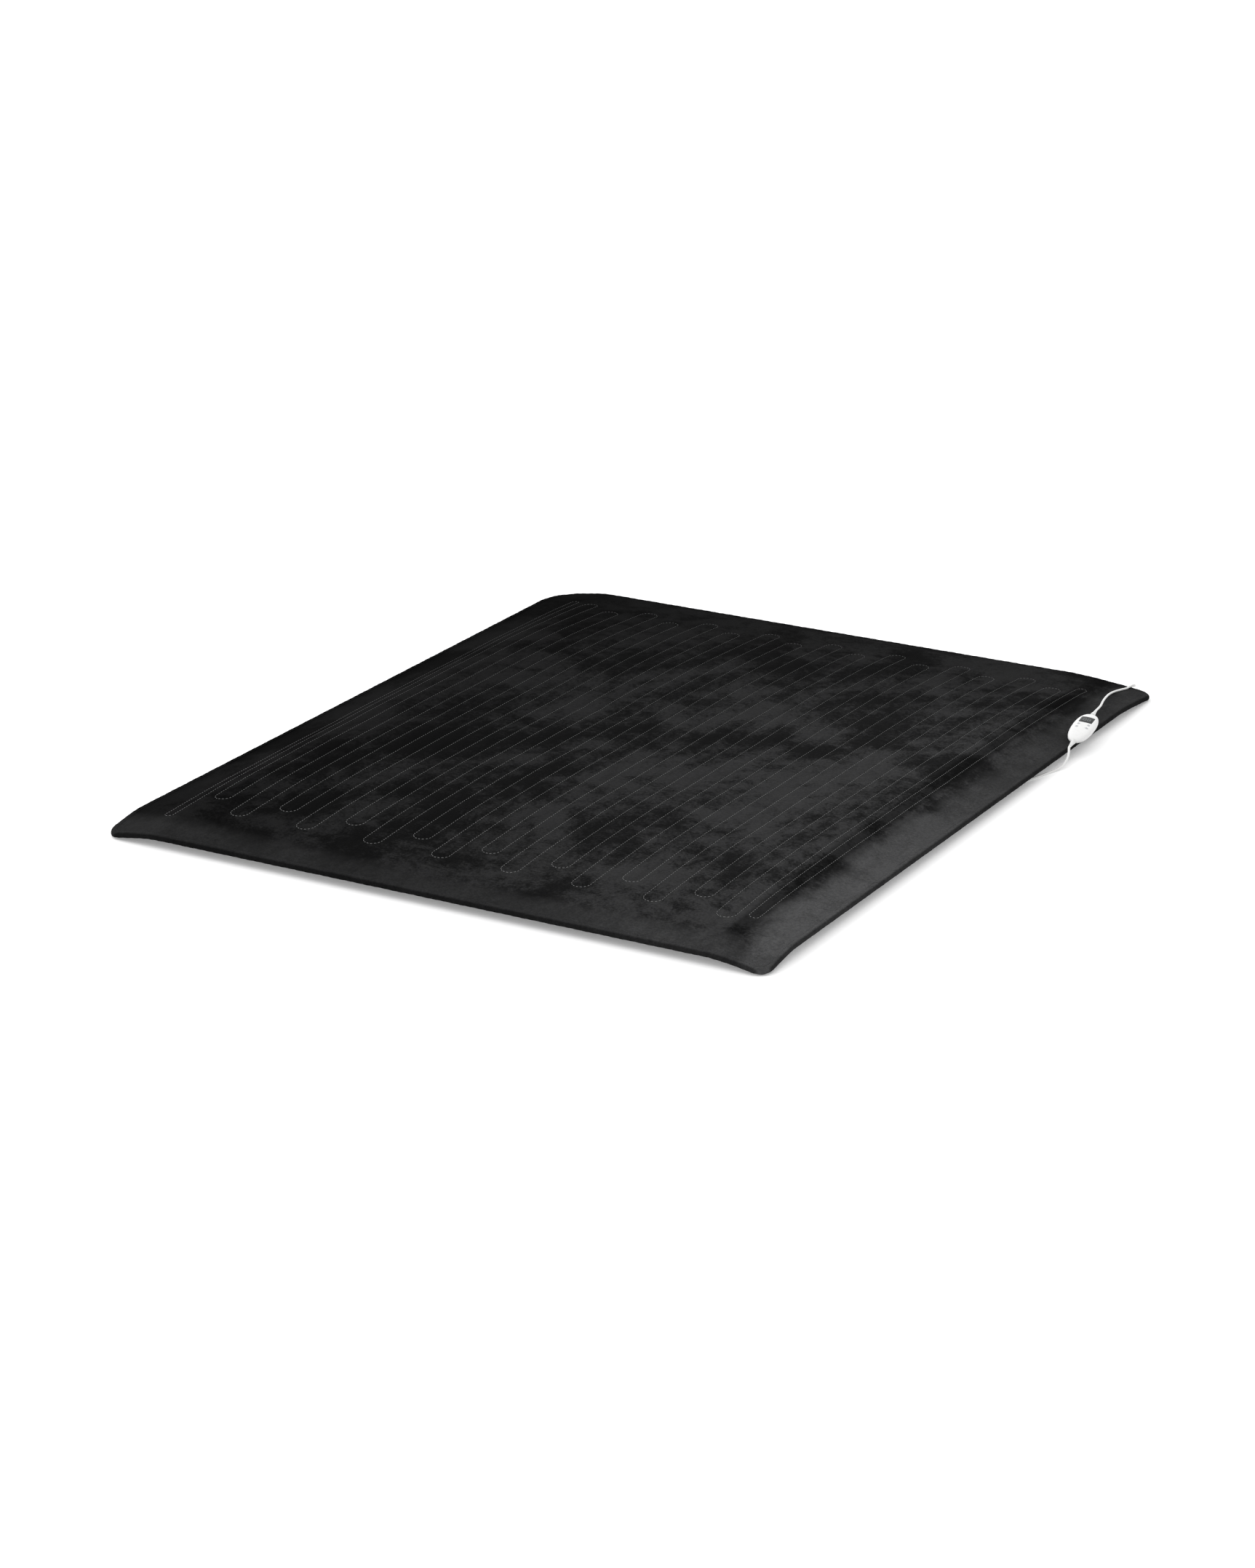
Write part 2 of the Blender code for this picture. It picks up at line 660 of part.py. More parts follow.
def make_case(holder):
    top = case_half("controller_top_case", CASE_TOP, 1, holder)
    bottom = case_half("controller_bottom_case", CASE_BOTTOM, -1, holder)
    base = -dome(POST_X, POST_Y, CASE_BOTTOM)
    seat = base + SEAT_DEPTH + SCREW_HEAD_HEIGHT + GAP  # the face that a screw's head bears on
    ledge = seat + SCREW_SEAT
    for number, (x, y) in enumerate(CASE_POSTS):
        post_top = dome(x, y, CASE_TOP) - CASE_WALL / 2
        post = add_cutter(f"post_{number}", cylinder(POST_RADIUS, ledge + GAP, post_top, 16, (x, y)), holder)
        boolean(top, post, "UNION")
        boss_shape = cylinder(POST_RADIUS + BOSS_WALL, base + CASE_WALL / 2, ledge, 16, (x, y))
        boss = add_cutter(f"boss_{number}", boss_shape, holder)
        boolean(bottom, boss, "UNION")
        outside = base - CUTTER_EXTRA
        pilot_shape = cylinder(SCREW_RADIUS + GAP, outside, ledge + SCREW_REACH, 12, (x, y))
        pilot = add_cutter(f"pilot_{number}", pilot_shape, holder)
        recess = add_cutter(f"recess_{number}", cylinder(SCREW_HEAD + GAP, outside, seat, 16, (x, y)), holder)
        boolean(top, pilot)
        boolean(bottom, pilot)
        boolean(bottom, recess)
        screw_tip = ledge + SCREW_REACH - 2 * GAP
        bearing = seat - GAP
        profile = [(0.0, screw_tip), (SCREW_RADIUS, screw_tip), (SCREW_RADIUS, bearing), (SCREW_HEAD, bearing),
                   (SCREW_HEAD, bearing - SCREW_HEAD_HEIGHT), (0.0, bearing - SCREW_HEAD_HEIGHT)]
        smooth(turned(f"case_screw_{number + 1}", profile, METAL, 12, holder, (x, y, 0)))
    opening = (WINDOW_WIDTH + 2 * GAP, WINDOW_LENGTH + 2 * GAP, 2 * CASE_TOP)
    boolean(top, add_cutter("window", box((0, WINDOW_MIDDLE, CASE_TOP), opening), holder))
    for side in (-1, 1):
        turn = Matrix.Translation((0, side * CASE_HALF_LENGTH, 0)) @ Matrix.Rotation(math.pi / 2, 4, "X")
        hole_shape = cylinder(RELIEF_NECK + GAP, -RELIEF_INSIDE, RELIEF_INSIDE, 20, turn=turn)
        hole = add_cutter(f"cord_hole_{side + 1}", hole_shape, holder)
        boolean(top, hole)
        boolean(bottom, hole)
    return top


def make_display(holder):
    bm = bmesh.new()
    bmesh.ops.create_grid(bm, x_segments=6, y_segments=6, size=0.5)
    for vert in bm.verts:
        x = vert.co.x * WINDOW_WIDTH
        y = WINDOW_MIDDLE + vert.co.y * WINDOW_LENGTH
        vert.co = (x, y, dome(x, y, CASE_TOP) - LENS_DROP)
    lowered = bmesh.ops.extrude_face_region(bm, geom=bm.faces[:], use_keep_orig=True)["geom"]
    lowered = [v for v in lowered if isinstance(v, bmesh.types.BMVert)]
    bmesh.ops.translate(bm, vec=(0, 0, -LENS_THICKNESS), verts=lowered)
    smooth(add_mesh("display_lens", bm, SMOKE, parent=holder))
    middle = BOARD_TOP + GAP + PANEL_THICKNESS / 2
    add_mesh("display_panel", box((0, WINDOW_MIDDLE, middle), (PANEL_WIDTH, PANEL_LENGTH, PANEL_THICKNESS)), GLASS,
             parent=holder)


def make_electronics(holder):
    size = (2 * BOARD_HALF_WIDTH, 2 * BOARD_HALF_LENGTH, BOARD_THICKNESS)
    add_mesh("circuit_board", box((0, 0, BOARD_TOP - BOARD_THICKNESS / 2), size), BOARD, parent=holder)
    under = BOARD_TOP - BOARD_THICKNESS - GAP
    for name, place, extent in (("power_relay", (0.003, -0.012), (0.0150, 0.0100, 0.0034)),
                                ("control_chip", (-0.002, 0.018), (0.0090, 0.0090, 0.0016))):
        add_mesh(name, box((*place, under - extent[2] / 2), extent), BLACK, parent=holder)
    for name, place, radius, length, skin in (("fuse", (-0.004, -0.027), 0.0013, 0.0120, CERAMIC),
                                              ("capacitor", (0.008, 0.004), 0.0018, 0.0090, METAL)):
        turn = Matrix.Translation((*place, under - radius)) @ Matrix.Rotation(math.pi / 2, 4, "X")
        smooth(add_mesh(name, cylinder(radius, -length / 2, length / 2, 12, turn=turn), skin, parent=holder))
    for name, (x, y) in BUTTONS.items():
        low = BOARD_TOP + GAP
        middle = low + SWITCH_HEIGHT / 2
        body = box((x, y, middle), (SWITCH_WIDTH, SWITCH_WIDTH, SWITCH_HEIGHT))
        switch = add_mesh(name.replace("button", "switch"), body, BLACK, parent=holder)
        stem = cylinder(PLUNGER_RADIUS, middle, low + SWITCH_HEIGHT + PLUNGER_HEIGHT, 10, (x, y))
        boolean(switch, add_cutter(f"{name}_plunger", stem, holder), "UNION")


def make_buttons(holder, top_case):
    foot = BOARD_TOP + GAP + SWITCH_HEIGHT + PLUNGER_HEIGHT + BUTTON_TRAVEL + PLUNGER_CLEARANCE
    for name, (x, y) in BUTTONS.items():
        hole = add_cutter(f"{name}_hole", cylinder(BUTTON_RADIUS + GAP, KEY_HOLE_FOOT, 2 * CASE_TOP, 20, (x, y)),
                          holder)
        boolean(top_case, hole)
        edge = BUTTON_RADIUS + BUTTON_FLANGE
        lowest = min(dome(x + dx, y + dy, CASE_TOP) for dx in (-edge, edge) for dy in (-edge, edge))
        flange = min(lowest - 1.3 * CASE_WALL - GAP, foot + FLANGE_THICKNESS)
        crest = dome(x, y, CASE_TOP) + BUTTON_PROUD
        profile = [(0.0, crest), (BUTTON_RADIUS - BUTTON_EDGE, crest - BUTTON_CROWN),
                   (BUTTON_RADIUS, crest - BUTTON_EDGE),
                   (BUTTON_RADIUS, flange), (edge, flange), (edge, foot), (0.0, foot)]
        smooth(turned(name, profile, KEYS, 20, holder, (x, y, 0)))


def make_reliefs(holder):
    """A tapered sleeve at each end, its flange inside the case and its neck in the case's hole."""
    collar = CASE_HALF_LENGTH + RELIEF_OUTSIDE
    tip = collar + RELIEF_LENGTH
    flange = CASE_HALF_LENGTH - RELIEF_INSIDE
    profile = [
        (0.0, tip),
        (LEAD / 2 + RELIEF_TIP_WALL, tip),
        (RELIEF_BASE - RELIEF_SHOULDER[0], collar + RELIEF_SHOULDER[1]),
        (RELIEF_BASE, collar),
        (RELIEF_NECK, collar),
        (RELIEF_NECK, flange),
        (RELIEF_FLANGE, flange),
        (RELIEF_FLANGE, flange - RELIEF_FLANGE_DEPTH),
        (0.0, flange - RELIEF_FLANGE_DEPTH),
    ]
    smooth(turned("lead_strain_relief", profile, WHITE, 20, holder, rotation=(-math.pi / 2, 0, 0)))
    smooth(turned("mains_strain_relief", profile, WHITE, 20, holder, rotation=(math.pi / 2, 0, 0)))
    return tip + GAP


def make_controller():
    """The controller lies on the hem by the right-hand back corner. Returns where its two cords leave it."""
    x = WIDTH / 2 + CONTROLLER_FROM_CORNER[0]
    y = LENGTH / 2 + CONTROLLER_FROM_CORNER[1]
    holder = bpy.data.objects.new("controller_frame", None)
    PARTS.objects.link(holder)
    holder.rotation_mode = "YXZ"
    holder.location = (x, y, HEM_TOP + CASE_BOTTOM + CONTROLLER_SEAT)
    holder.rotation_euler = (CONTROLLER_PITCH, CONTROLLER_ROLL, CONTROLLER_YAW)
    top_case = make_case(holder)
    make_display(holder)
    make_electronics(holder)
    make_buttons(holder, top_case)
    reach = make_reliefs(holder)
    turn = Euler(holder.rotation_euler, "YXZ").to_matrix()
    along = turn @ Vector((0, 1, 0))
    return Vector(holder.location) + along * reach, Vector(holder.location) - along * reach, along


# ---------------------------------------------------------------- cords, coil and plug


def top_of_blanket(x, y):
    on_hem = max(abs(x) - HALF_X, abs(y) - HALF_Y) > -BINDING_WIDTH - 0.003
    return underside(x, y) + STACK + (GAP + BINDING if on_hem else 0.0)


def make_lead(exit_point, along):
    corner = Vector((WIDTH / 2, LENGTH / 2))
    points = [exit_point + along * STRAIGHT, exit_point + along * 2 * STRAIGHT]
    for dx, dy, clear in LEAD_ON_TOP:
        x, y = corner.x + dx, corner.y + dy
        points.append((x, y, top_of_blanket(x, y) + LEAD / 2 + 2 * GAP + clear))
    points += [(corner.x + dx, corner.y + dy, z) for dx, dy, z in LEAD_BEHIND]
    x = HALF_X + CONNECTOR_FROM_CORNER[0]
    points.append((x, HALF_Y + CONNECTOR_FROM_CORNER[1] + GAP, CONNECTOR_HEIGHT))
    route = smooth_route(points, SPACING * LEAD)
    for point in route:
        if point.z > HEM_TOP / 2 and point.y < LENGTH / 2:
            point.z = max(point.z, top_of_blanket(point.x, point.y) + LEAD / 2 + 2 * GAP)
    tube("lead_cord", [exit_point, *route], LEAD, CORD_SKIN)


def make_mains(exit_point, along):
    corner = Vector((WIDTH / 2, LENGTH / 2))
    coil = Vector((corner.x + COIL_FROM_CORNER[0], corner.y + COIL_FROM_CORNER[1]))
    half_across = COIL_ACROSS * MAINS / 2
    outer = COIL_RADIUS + half_across
    turn_radius = outer - MAINS / 2
    stand_off = math.sqrt(outer**2 - (turn_radius - MAINS / 2) ** 2) + GAP
    low = COIL_BASE + MAINS / 2
    points = [exit_point - along * STRAIGHT, exit_point - along * 2 * STRAIGHT]
    points += [(corner.x + dx, corner.y + dy, z) for dx, dy, z in MAINS_ROUTE]
    points.append((coil.x + turn_radius, coil.y + stand_off + COIL_APPROACH, low))
    points.append((coil.x + turn_radius, coil.y + stand_off, low))
    tube("mains_cord", [exit_point, *smooth_route(points, SPACING * MAINS)], MAINS, CORD_SKIN)

    top = COIL_BASE + COIL_LAYERS * MAINS
    inner = COIL_RADIUS - half_across
    profile = [(inner, top), (outer, top), (outer, COIL_BASE), (inner, COIL_BASE)]
    ring = turned("mains_coil", [*profile, profile[0]], CORD_SKIN, 32, place=(coil.x, coil.y, 0))
    smooth(ring)

    start = Vector((coil.x + turn_radius, coil.y - stand_off, top - MAINS / 2))
    tail = [start, start - Vector((0, TAIL_STRAIGHT, 0))]
    tail += [(coil.x + turn_radius + dx, coil.y + dy, z) for dx, dy, z in TAIL_ROUTE]
    end = Vector((tail[-1][0] + TAIL_END[0], tail[-1][1] + TAIL_END[1], PLUG_CENTRE))
    tail.append(end)
    tube("mains_cord_tail", smooth_route(tail, SPACING * MAINS), MAINS, CORD_SKIN)

    frame = box((coil.x - COIL_RADIUS, coil.y, (COIL_BASE + top) / 2),
                (2 * (half_across + GAP + TIE), TIE_WIDTH, top - COIL_BASE + 2 * (GAP + TIE)))
    tie = add_mesh("cord_tie", frame, BLACK)
    inside = box((coil.x - COIL_RADIUS, coil.y, (COIL_BASE + top) / 2),
                 (2 * (half_across + 2 * GAP), 2 * TIE_WIDTH, top - COIL_BASE + 2 * GAP))
    boolean(tie, add_cutter("tie_opening", inside))
    make_plug(end)


def make_plug(cord_end):
    """A flat two-pin plug along -X from the cord's end."""
    relief_end = cord_end.x - GAP
    profile = [(0.0, 0.0), (MAINS / 2 + PLUG_RELIEF_WALL, 0.0), (PLUG_RELIEF_RADIUS, -PLUG_RELIEF_LENGTH),
               (0.0, -PLUG_RELIEF_LENGTH)]
    relief = turned("plug_strain_relief", profile, WHITE, 16, place=(relief_end, cord_end.y, PLUG_CENTRE),
                    rotation=(0, math.pi / 2, 0))
    smooth(relief)
    back = relief_end - PLUG_RELIEF_LENGTH - GAP
    body = add_mesh("mains_plug_body", box((back - PLUG_LENGTH / 2, cord_end.y, PLUG_CENTRE),
                                           (PLUG_LENGTH, PLUG_WIDTH, PLUG_HEIGHT)), WHITE)
    bevel(body, PLUG_EDGE, 3)
    front = back - PLUG_LENGTH - GAP
    for number, side in ((1, -1), (2, 1)):
        turn = Matrix.Translation((front - PIN_LENGTH / 2, cord_end.y + side * PIN_SPACING / 2, PLUG_CENTRE))
        turn = turn @ Matrix.Rotation(math.pi / 2, 4, "Y")
        pin = cylinder(PIN_RADIUS, -PIN_LENGTH / 2, PIN_LENGTH / 2, 12, turn=turn)
        smooth(add_mesh(f"plug_pin_{number}", pin, BRASS))


def main():
    sheets = make_layers()
    make_binding()
    make_wires()
    make_connector(sheets)
    lead_exit, mains_exit, along = make_controller()
    make_lead(lead_exit, along)
    make_mains(mains_exit, along)


main()
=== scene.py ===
import json
import math

import bmesh
import bpy
import numpy as np
from mathutils import Euler, Matrix, Vector


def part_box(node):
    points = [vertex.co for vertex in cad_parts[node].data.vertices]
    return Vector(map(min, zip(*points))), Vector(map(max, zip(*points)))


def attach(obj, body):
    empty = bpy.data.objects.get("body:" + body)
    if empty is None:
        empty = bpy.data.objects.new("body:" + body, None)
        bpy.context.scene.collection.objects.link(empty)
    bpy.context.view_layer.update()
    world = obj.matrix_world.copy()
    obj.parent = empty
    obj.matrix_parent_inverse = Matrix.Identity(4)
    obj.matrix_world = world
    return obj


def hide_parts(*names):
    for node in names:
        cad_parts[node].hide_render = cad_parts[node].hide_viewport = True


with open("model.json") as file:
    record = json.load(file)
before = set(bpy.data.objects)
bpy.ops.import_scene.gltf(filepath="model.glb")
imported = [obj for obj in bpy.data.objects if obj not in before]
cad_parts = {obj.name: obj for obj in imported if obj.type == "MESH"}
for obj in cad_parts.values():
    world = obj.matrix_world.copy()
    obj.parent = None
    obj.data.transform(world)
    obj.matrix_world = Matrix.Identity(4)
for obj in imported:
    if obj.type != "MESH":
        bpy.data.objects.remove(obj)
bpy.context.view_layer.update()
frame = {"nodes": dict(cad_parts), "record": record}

BODY = "blanket"
NODES = frame["nodes"]
RECORD = {entry["node"]: entry["material_slot"] for entry in frame["record"]["subparts"]}

# ---------------------------------------------------------------- sizes, in metres, as the CAD model has them

OUTER_LOW, OUTER_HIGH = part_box("edge_binding")
WIDTH = OUTER_HIGH[0] - OUTER_LOW[0]
LENGTH = OUTER_HIGH[1] - OUTER_LOW[1]
GAP = 0.0003
BINDING = 0.0009
HALF_X = WIDTH / 2 - GAP - BINDING
HALF_Y = LENGTH / 2 - GAP - BINDING
EDGE_LIFT = 0.0135
CROWN = 0.027
CROWN_SIDE = 0.150
CROWN_END = 0.600
CROWN_SWELL = 2.5
CORNER_RADIUS = 0.030
CORNER_REACH = {(-1, -1): 0.105, (1, -1): 0.105, (1, 1): 0.170, (-1, 1): 0.105}
CORNER_DROP = 1.12
CORNER_EASE = 1.4
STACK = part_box("top_cover")[1][2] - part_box("bottom_cover")[1][2] + 0.0020
HEM_TOP = EDGE_LIFT + 2 * (BINDING + GAP) + STACK

# Quilting: closed loops of stitching between the heating runs
LOOPS = 16
LOOP_PITCH = 0.0688
LOOP_HALF_WIDTH = 0.0172
LOOP_OFFSET = -0.0125
SHORT_NEAR, LONG_NEAR = -0.622, -0.674
SHORT_FAR, LONG_FAR = 0.661, 0.700
PUFF = 0.0010
PUFF_REACH = 0.0110
GROOVE = 0.0006
GROOVE_REACH = 0.0026
STITCH_PITCH = 0.0068
STITCH_LENGTH = 0.0048
STITCH_WIDTH = 0.0014
STITCH_HEIGHT = 0.0007

# Controller
CONTROLLER_PLACE = (WIDTH / 2 - 0.0070, LENGTH / 2 - 0.3260, HEM_TOP + 0.0080 + 0.0031)
CONTROLLER_TURN = (math.radians(5.0), math.radians(5.9), math.radians(7.3))
CASE_HALF_LENGTH = 0.0620
CASE_HALF_WIDTH = 0.0215
CASE_TOP = 0.0085
CASE_BOTTOM = 0.0080
CASE_WALL = 0.0016
CASE_TAPER = 0.05
OUTLINE_POWER = 2.3
DOME_POWER = 3.0
CREST_POWER = 2.2
WINDOW_MIDDLE = 0.0235
WINDOW_LENGTH = 0.0270
WINDOW_WIDTH = 0.0250
BUTTON_RADIUS = 0.0026
BUTTON_PROUD = 0.0009
BUTTON_X = 0.0095
BUTTON_Y = (0.0010, -0.0120)
RELIEF_OUTSIDE = 0.0007
RELIEF_LENGTH = 0.0200
RELIEF_BASE = 0.0047
RELIEF_NECK = 0.0032

# Cords, from the blanket's right-hand back corner
LEAD = 0.0040
MAINS = 0.0044
STRAIGHT = 0.0030
LEAD_ON_TOP = [(-0.0255, -0.2020, 0.0126), (-0.0345, -0.1680, 0.0098), (-0.0430, -0.1340, 0.0064),
               (-0.0500, -0.1000, 0.0036), (-0.0535, -0.0680, 0.0012), (-0.0520, -0.0400, 0.0), (-0.0490, -0.0180, 0.0)]
LEAD_BEHIND = [(-0.0460, 0.0040, 0.0170), (-0.0465, 0.0150, 0.0128), (-0.0520, 0.0230, 0.0080),
               (-0.0615, 0.0255, 0.0045), (-0.0710, 0.0210, 0.0028), (-0.0775, 0.0120, 0.0024),
               (-0.0800, 0.0000, 0.0025), (-0.0810, -0.0090, 0.0034)]
CONNECTOR_FROM_CORNER = (-0.0810, -0.0160)
CONNECTOR_HEIGHT = 0.0044
MAINS_ROUTE = [(0.0062, -0.4185, 0.0262), (0.0102, -0.4290, 0.0205), (0.0122, -0.4420, 0.0130),
               (0.0100, -0.4580, 0.0062), (0.0050, -0.4760, 0.0030), (-0.0020, -0.4980, 0.0024),
               (-0.0105, -0.5260, 0.0024), (-0.0220, -0.5510, 0.0024), (-0.0400, -0.5710, 0.0024),
               (-0.0620, -0.5860, 0.0027), (-0.0810, -0.6010, 0.0032)]
COIL_FROM_CORNER = (-0.1200, -0.6350)
COIL_RADIUS = 0.0250
COIL_ACROSS = 3
COIL_LAYERS = 4
COIL_BASE = 0.0013
TAIL_ROUTE = [(-0.0003, -0.0260, 0.0148), (-0.0030, -0.0420, 0.0128), (-0.0110, -0.0570, 0.0104),
              (-0.0240, -0.0690, 0.0088), (-0.0400, -0.0745, 0.0078)]
PLUG_CENTRE = 0.0072


# ---------------------------------------------------------------- node helpers


def new_material(name, colour, roughness, **sockets):
    """A Principled material. Returns it with its tree and shader."""
    made = bpy.data.materials.new(name)
    made.use_nodes = True
    tree = made.node_tree
    shader = tree.nodes["Principled BSDF"]
    shader.inputs["Base Color"].default_value = (*colour, 1.0)
    shader.inputs["Roughness"].default_value = roughness
    for socket, value in sockets.items():
        shader.inputs[socket.replace("_", " ")].default_value = value
    made.diffuse_color = (*colour, 1.0)
    return made, tree, shader


def coordinates(tree):
    return tree.nodes.new("ShaderNodeTexCoord").outputs["Object"]


def noise_of(tree, place, scale, detail=3.0, roughness=0.55, distortion=0.0, stretch=None):
    if stretch:
        mapping = tree.nodes.new("ShaderNodeMapping")
        mapping.inputs["Scale"].default_value = stretch
        tree.links.new(place, mapping.inputs["Vector"])
        place = mapping.outputs["Vector"]
    node = tree.nodes.new("ShaderNodeTexNoise")
    node.inputs["Scale"].default_value = scale
    node.inputs["Detail"].default_value = detail
    node.inputs["Roughness"].default_value = roughness
    node.inputs["Distortion"].default_value = distortion
    tree.links.new(place, node.inputs["Vector"])
    return node.outputs["Fac"]


def maths(tree, operation, first, second=0.0, clamp=False):
    node = tree.nodes.new("ShaderNodeMath")
    node.operation = operation
    node.use_clamp = clamp
    for socket, value in zip(node.inputs, (first, second)):
        if isinstance(value, (int, float)):
            socket.default_value = value
        else:
            tree.links.new(value, socket)
    return node.outputs[0]


def ranged(tree, value, low, high, to_low=0.0, to_high=1.0, smooth=True):
    node = tree.nodes.new("ShaderNodeMapRange")
    node.interpolation_type = "SMOOTHSTEP" if smooth else "LINEAR"
    node.inputs["From Min"].default_value = low
    node.inputs["From Max"].default_value = high
    node.inputs["To Min"].default_value = to_low
    node.inputs["To Max"].default_value = to_high
    tree.links.new(value, node.inputs["Value"])
    return node.outputs["Result"]


def mixed(tree, share, first, second):
    node = tree.nodes.new("ShaderNodeMix")
    node.data_type = "RGBA"
    for socket, value in ((node.inputs["Factor"], share), (node.inputs[6], first), (node.inputs[7], second)):
        if isinstance(value, tuple):
            socket.default_value = (*value, 1.0)
        elif isinstance(value, (int, float)):
            socket.default_value = value
        else:
            tree.links.new(value, socket)
    return node.outputs[2]


def bumped(tree, shader, height, strength, distance):
    node = tree.nodes.new("ShaderNodeBump")
    node.inputs["Strength"].default_value = strength
    node.inputs["Distance"].default_value = distance
    tree.links.new(height, node.inputs["Height"])
    tree.links.new(node.outputs["Normal"], shader.inputs["Normal"])


# ---------------------------------------------------------------- materials


def plush(name, painted_light_margins=False, edge=1.0):
    """Brushed black plush: cloudy patches where the nap lies one way or the other, over a fine pile.

    With the margin flag set, painted light makes the cloth outside the quilting paler on the right side and the near
    end, as on the top.
    Edge is how dark the painted shade on the outer fold is.
    """
    made, tree, shader = new_material(name, (0.018, 0.018, 0.018), 0.95, Sheen_Weight=0.012, Sheen_Roughness=0.40,
                                      Specular_IOR_Level=0.0)
    place = coordinates(tree)
    split = tree.nodes.new("ShaderNodeSeparateXYZ")
    tree.links.new(place, split.inputs[0])
    x, y = split.outputs["X"], split.outputs["Y"]
    cloud = noise_of(tree, place, 4.2, 10.0, 0.68, 0.25)
    mottle = noise_of(tree, place, 15.0, 9.0, 0.74, 0.4)
    fibres = noise_of(tree, place, 210.0, 4.0, 0.65, 0.3)
    brushed = noise_of(tree, place, 60.0, 4.0, 0.6, 0.2, (1.0, 0.25, 1.0))
    pile = noise_of(tree, place, 900.0, 3.0, 0.7)
    patches = maths(tree, "ADD", maths(tree, "MULTIPLY", cloud, 0.52), maths(tree, "MULTIPLY", mottle, 0.34))
    patches = maths(tree, "ADD", patches, maths(tree, "MULTIPLY", fibres, 0.14))
    share = ranged(tree, patches, 0.424, 0.584)
    # Painted light: the cloth is painted lighter towards the right side and darker over the far end, as the light falls
    # across the blanket.
    painted_light_across = maths(tree, "ADD", maths(tree, "MULTIPLY", x, 0.018), 0.0158)
    back = ranged(tree, y, 0.20, 0.78, 1.0, 0.50)
    cloudy = ranged(tree, share, 0.0, 1.0, 0.34, 1.22)
    tone = maths(tree, "MULTIPLY", maths(tree, "MULTIPLY", painted_light_across, back), cloudy)
    if painted_light_margins:
        # Painted shade: a darker band along the close double stitch line near the right margin stands in for the shade
        # in the groove there.
        painted_seam_shade = ranged(tree, maths(tree, "ABSOLUTE", maths(tree, "SUBTRACT", x, 0.5485)), 0.010, 0.022, 0.50, 1.0)
        tone = maths(tree, "MULTIPLY", tone, painted_seam_shade)
        # Painted light: the margins outside the quilting are painted paler where their sloping cloth would catch the
        # light, most towards the near right corner.
        wander = maths(tree, "MULTIPLY", maths(tree, "SUBTRACT", cloud, 0.5), 0.12)
        right = ranged(tree, maths(tree, "ADD", x, wander), 0.552, 0.606)
        right = maths(tree, "MULTIPLY", right, ranged(tree, y, -0.60, 0.60, 0.058, 0.028))
        near = ranged(tree, maths(tree, "SUBTRACT", wander, y), 0.685, 0.770)
        near = maths(tree, "MULTIPLY", near, ranged(tree, x, -0.10, 0.62, 0.017, 0.036))
        outside = maths(tree, "MAXIMUM", right, near)
        painted_margin_light = maths(tree, "MULTIPLY", outside, ranged(tree, share, 0.0, 1.0, 0.78, 1.04))
        tone = maths(tree, "MAXIMUM", tone, painted_margin_light)
    if edge < 1.0:
        # Painted shade: the cloth darkens over the last few millimetres to the outer edge, where the fold turns down
        # away from the light.
        out_x = maths(tree, "SUBTRACT", maths(tree, "ABSOLUTE", x), WIDTH / 2)
        out_y = maths(tree, "SUBTRACT", maths(tree, "ABSOLUTE", y), LENGTH / 2)
        painted_fold_shade = ranged(tree, maths(tree, "MAXIMUM", out_x, out_y), -0.0040, -0.0006, 1.0, edge)
        tone = maths(tree, "MULTIPLY", tone, painted_fold_shade)
    streak = ranged(tree, brushed, 0.25, 0.75, 0.88, 1.12, smooth=False)
    grain = ranged(tree, pile, 0.25, 0.75, 0.66, 1.34, smooth=False)
    tone = maths(tree, "MULTIPLY", maths(tree, "MULTIPLY", tone, streak), grain)
    tone = maths(tree, "MULTIPLY", tone, ranged(tree, fibres, 0.30, 0.70, 0.82, 1.18, smooth=False))
    grey = tree.nodes.new("ShaderNodeCombineColor")
    for socket, tint in zip(grey.inputs, (1.0, 1.0, 1.015)):
        tree.links.new(maths(tree, "MULTIPLY", tone, tint), socket)
    tree.links.new(grey.outputs[0], shader.inputs["Base Color"])
    depth = maths(tree, "ADD", pile, maths(tree, "MULTIPLY", brushed, 1.5))
    bumped(tree, shader, depth, 0.35, 0.0009)
    return made


def thread(name):
    """Twisted sewing thread, painted paler towards the right and the near end of the blanket, as the light falls across
    it.
    """
    made, tree, shader = new_material(name, (0.140, 0.140, 0.142), 0.8, Specular_IOR_Level=0.1)
    place = coordinates(tree)
    split = tree.nodes.new("ShaderNodeSeparateXYZ")
    tree.links.new(place, split.inputs[0])
    across = maths(tree, "SUBTRACT", maths(tree, "MULTIPLY", split.outputs["X"], 0.7), split.outputs["Y"])
    twist = noise_of(tree, place, 1300.0, 2.0)
    # Painted light: the thread's tone rises towards the right and the near end of the blanket.
    shade = ranged(tree, across, -1.0, 0.8, 0.070, 0.175)
    tone = maths(tree, "MULTIPLY", shade, ranged(tree, twist, 0.3, 0.7, 0.7, 1.3))
    grey = tree.nodes.new("ShaderNodeCombineColor")
    for socket in grey.inputs:
        tree.links.new(tone, socket)
    tree.links.new(grey.outputs[0], shader.inputs["Base Color"])
    bumped(tree, shader, twist, 0.5, 0.0003)
    return made


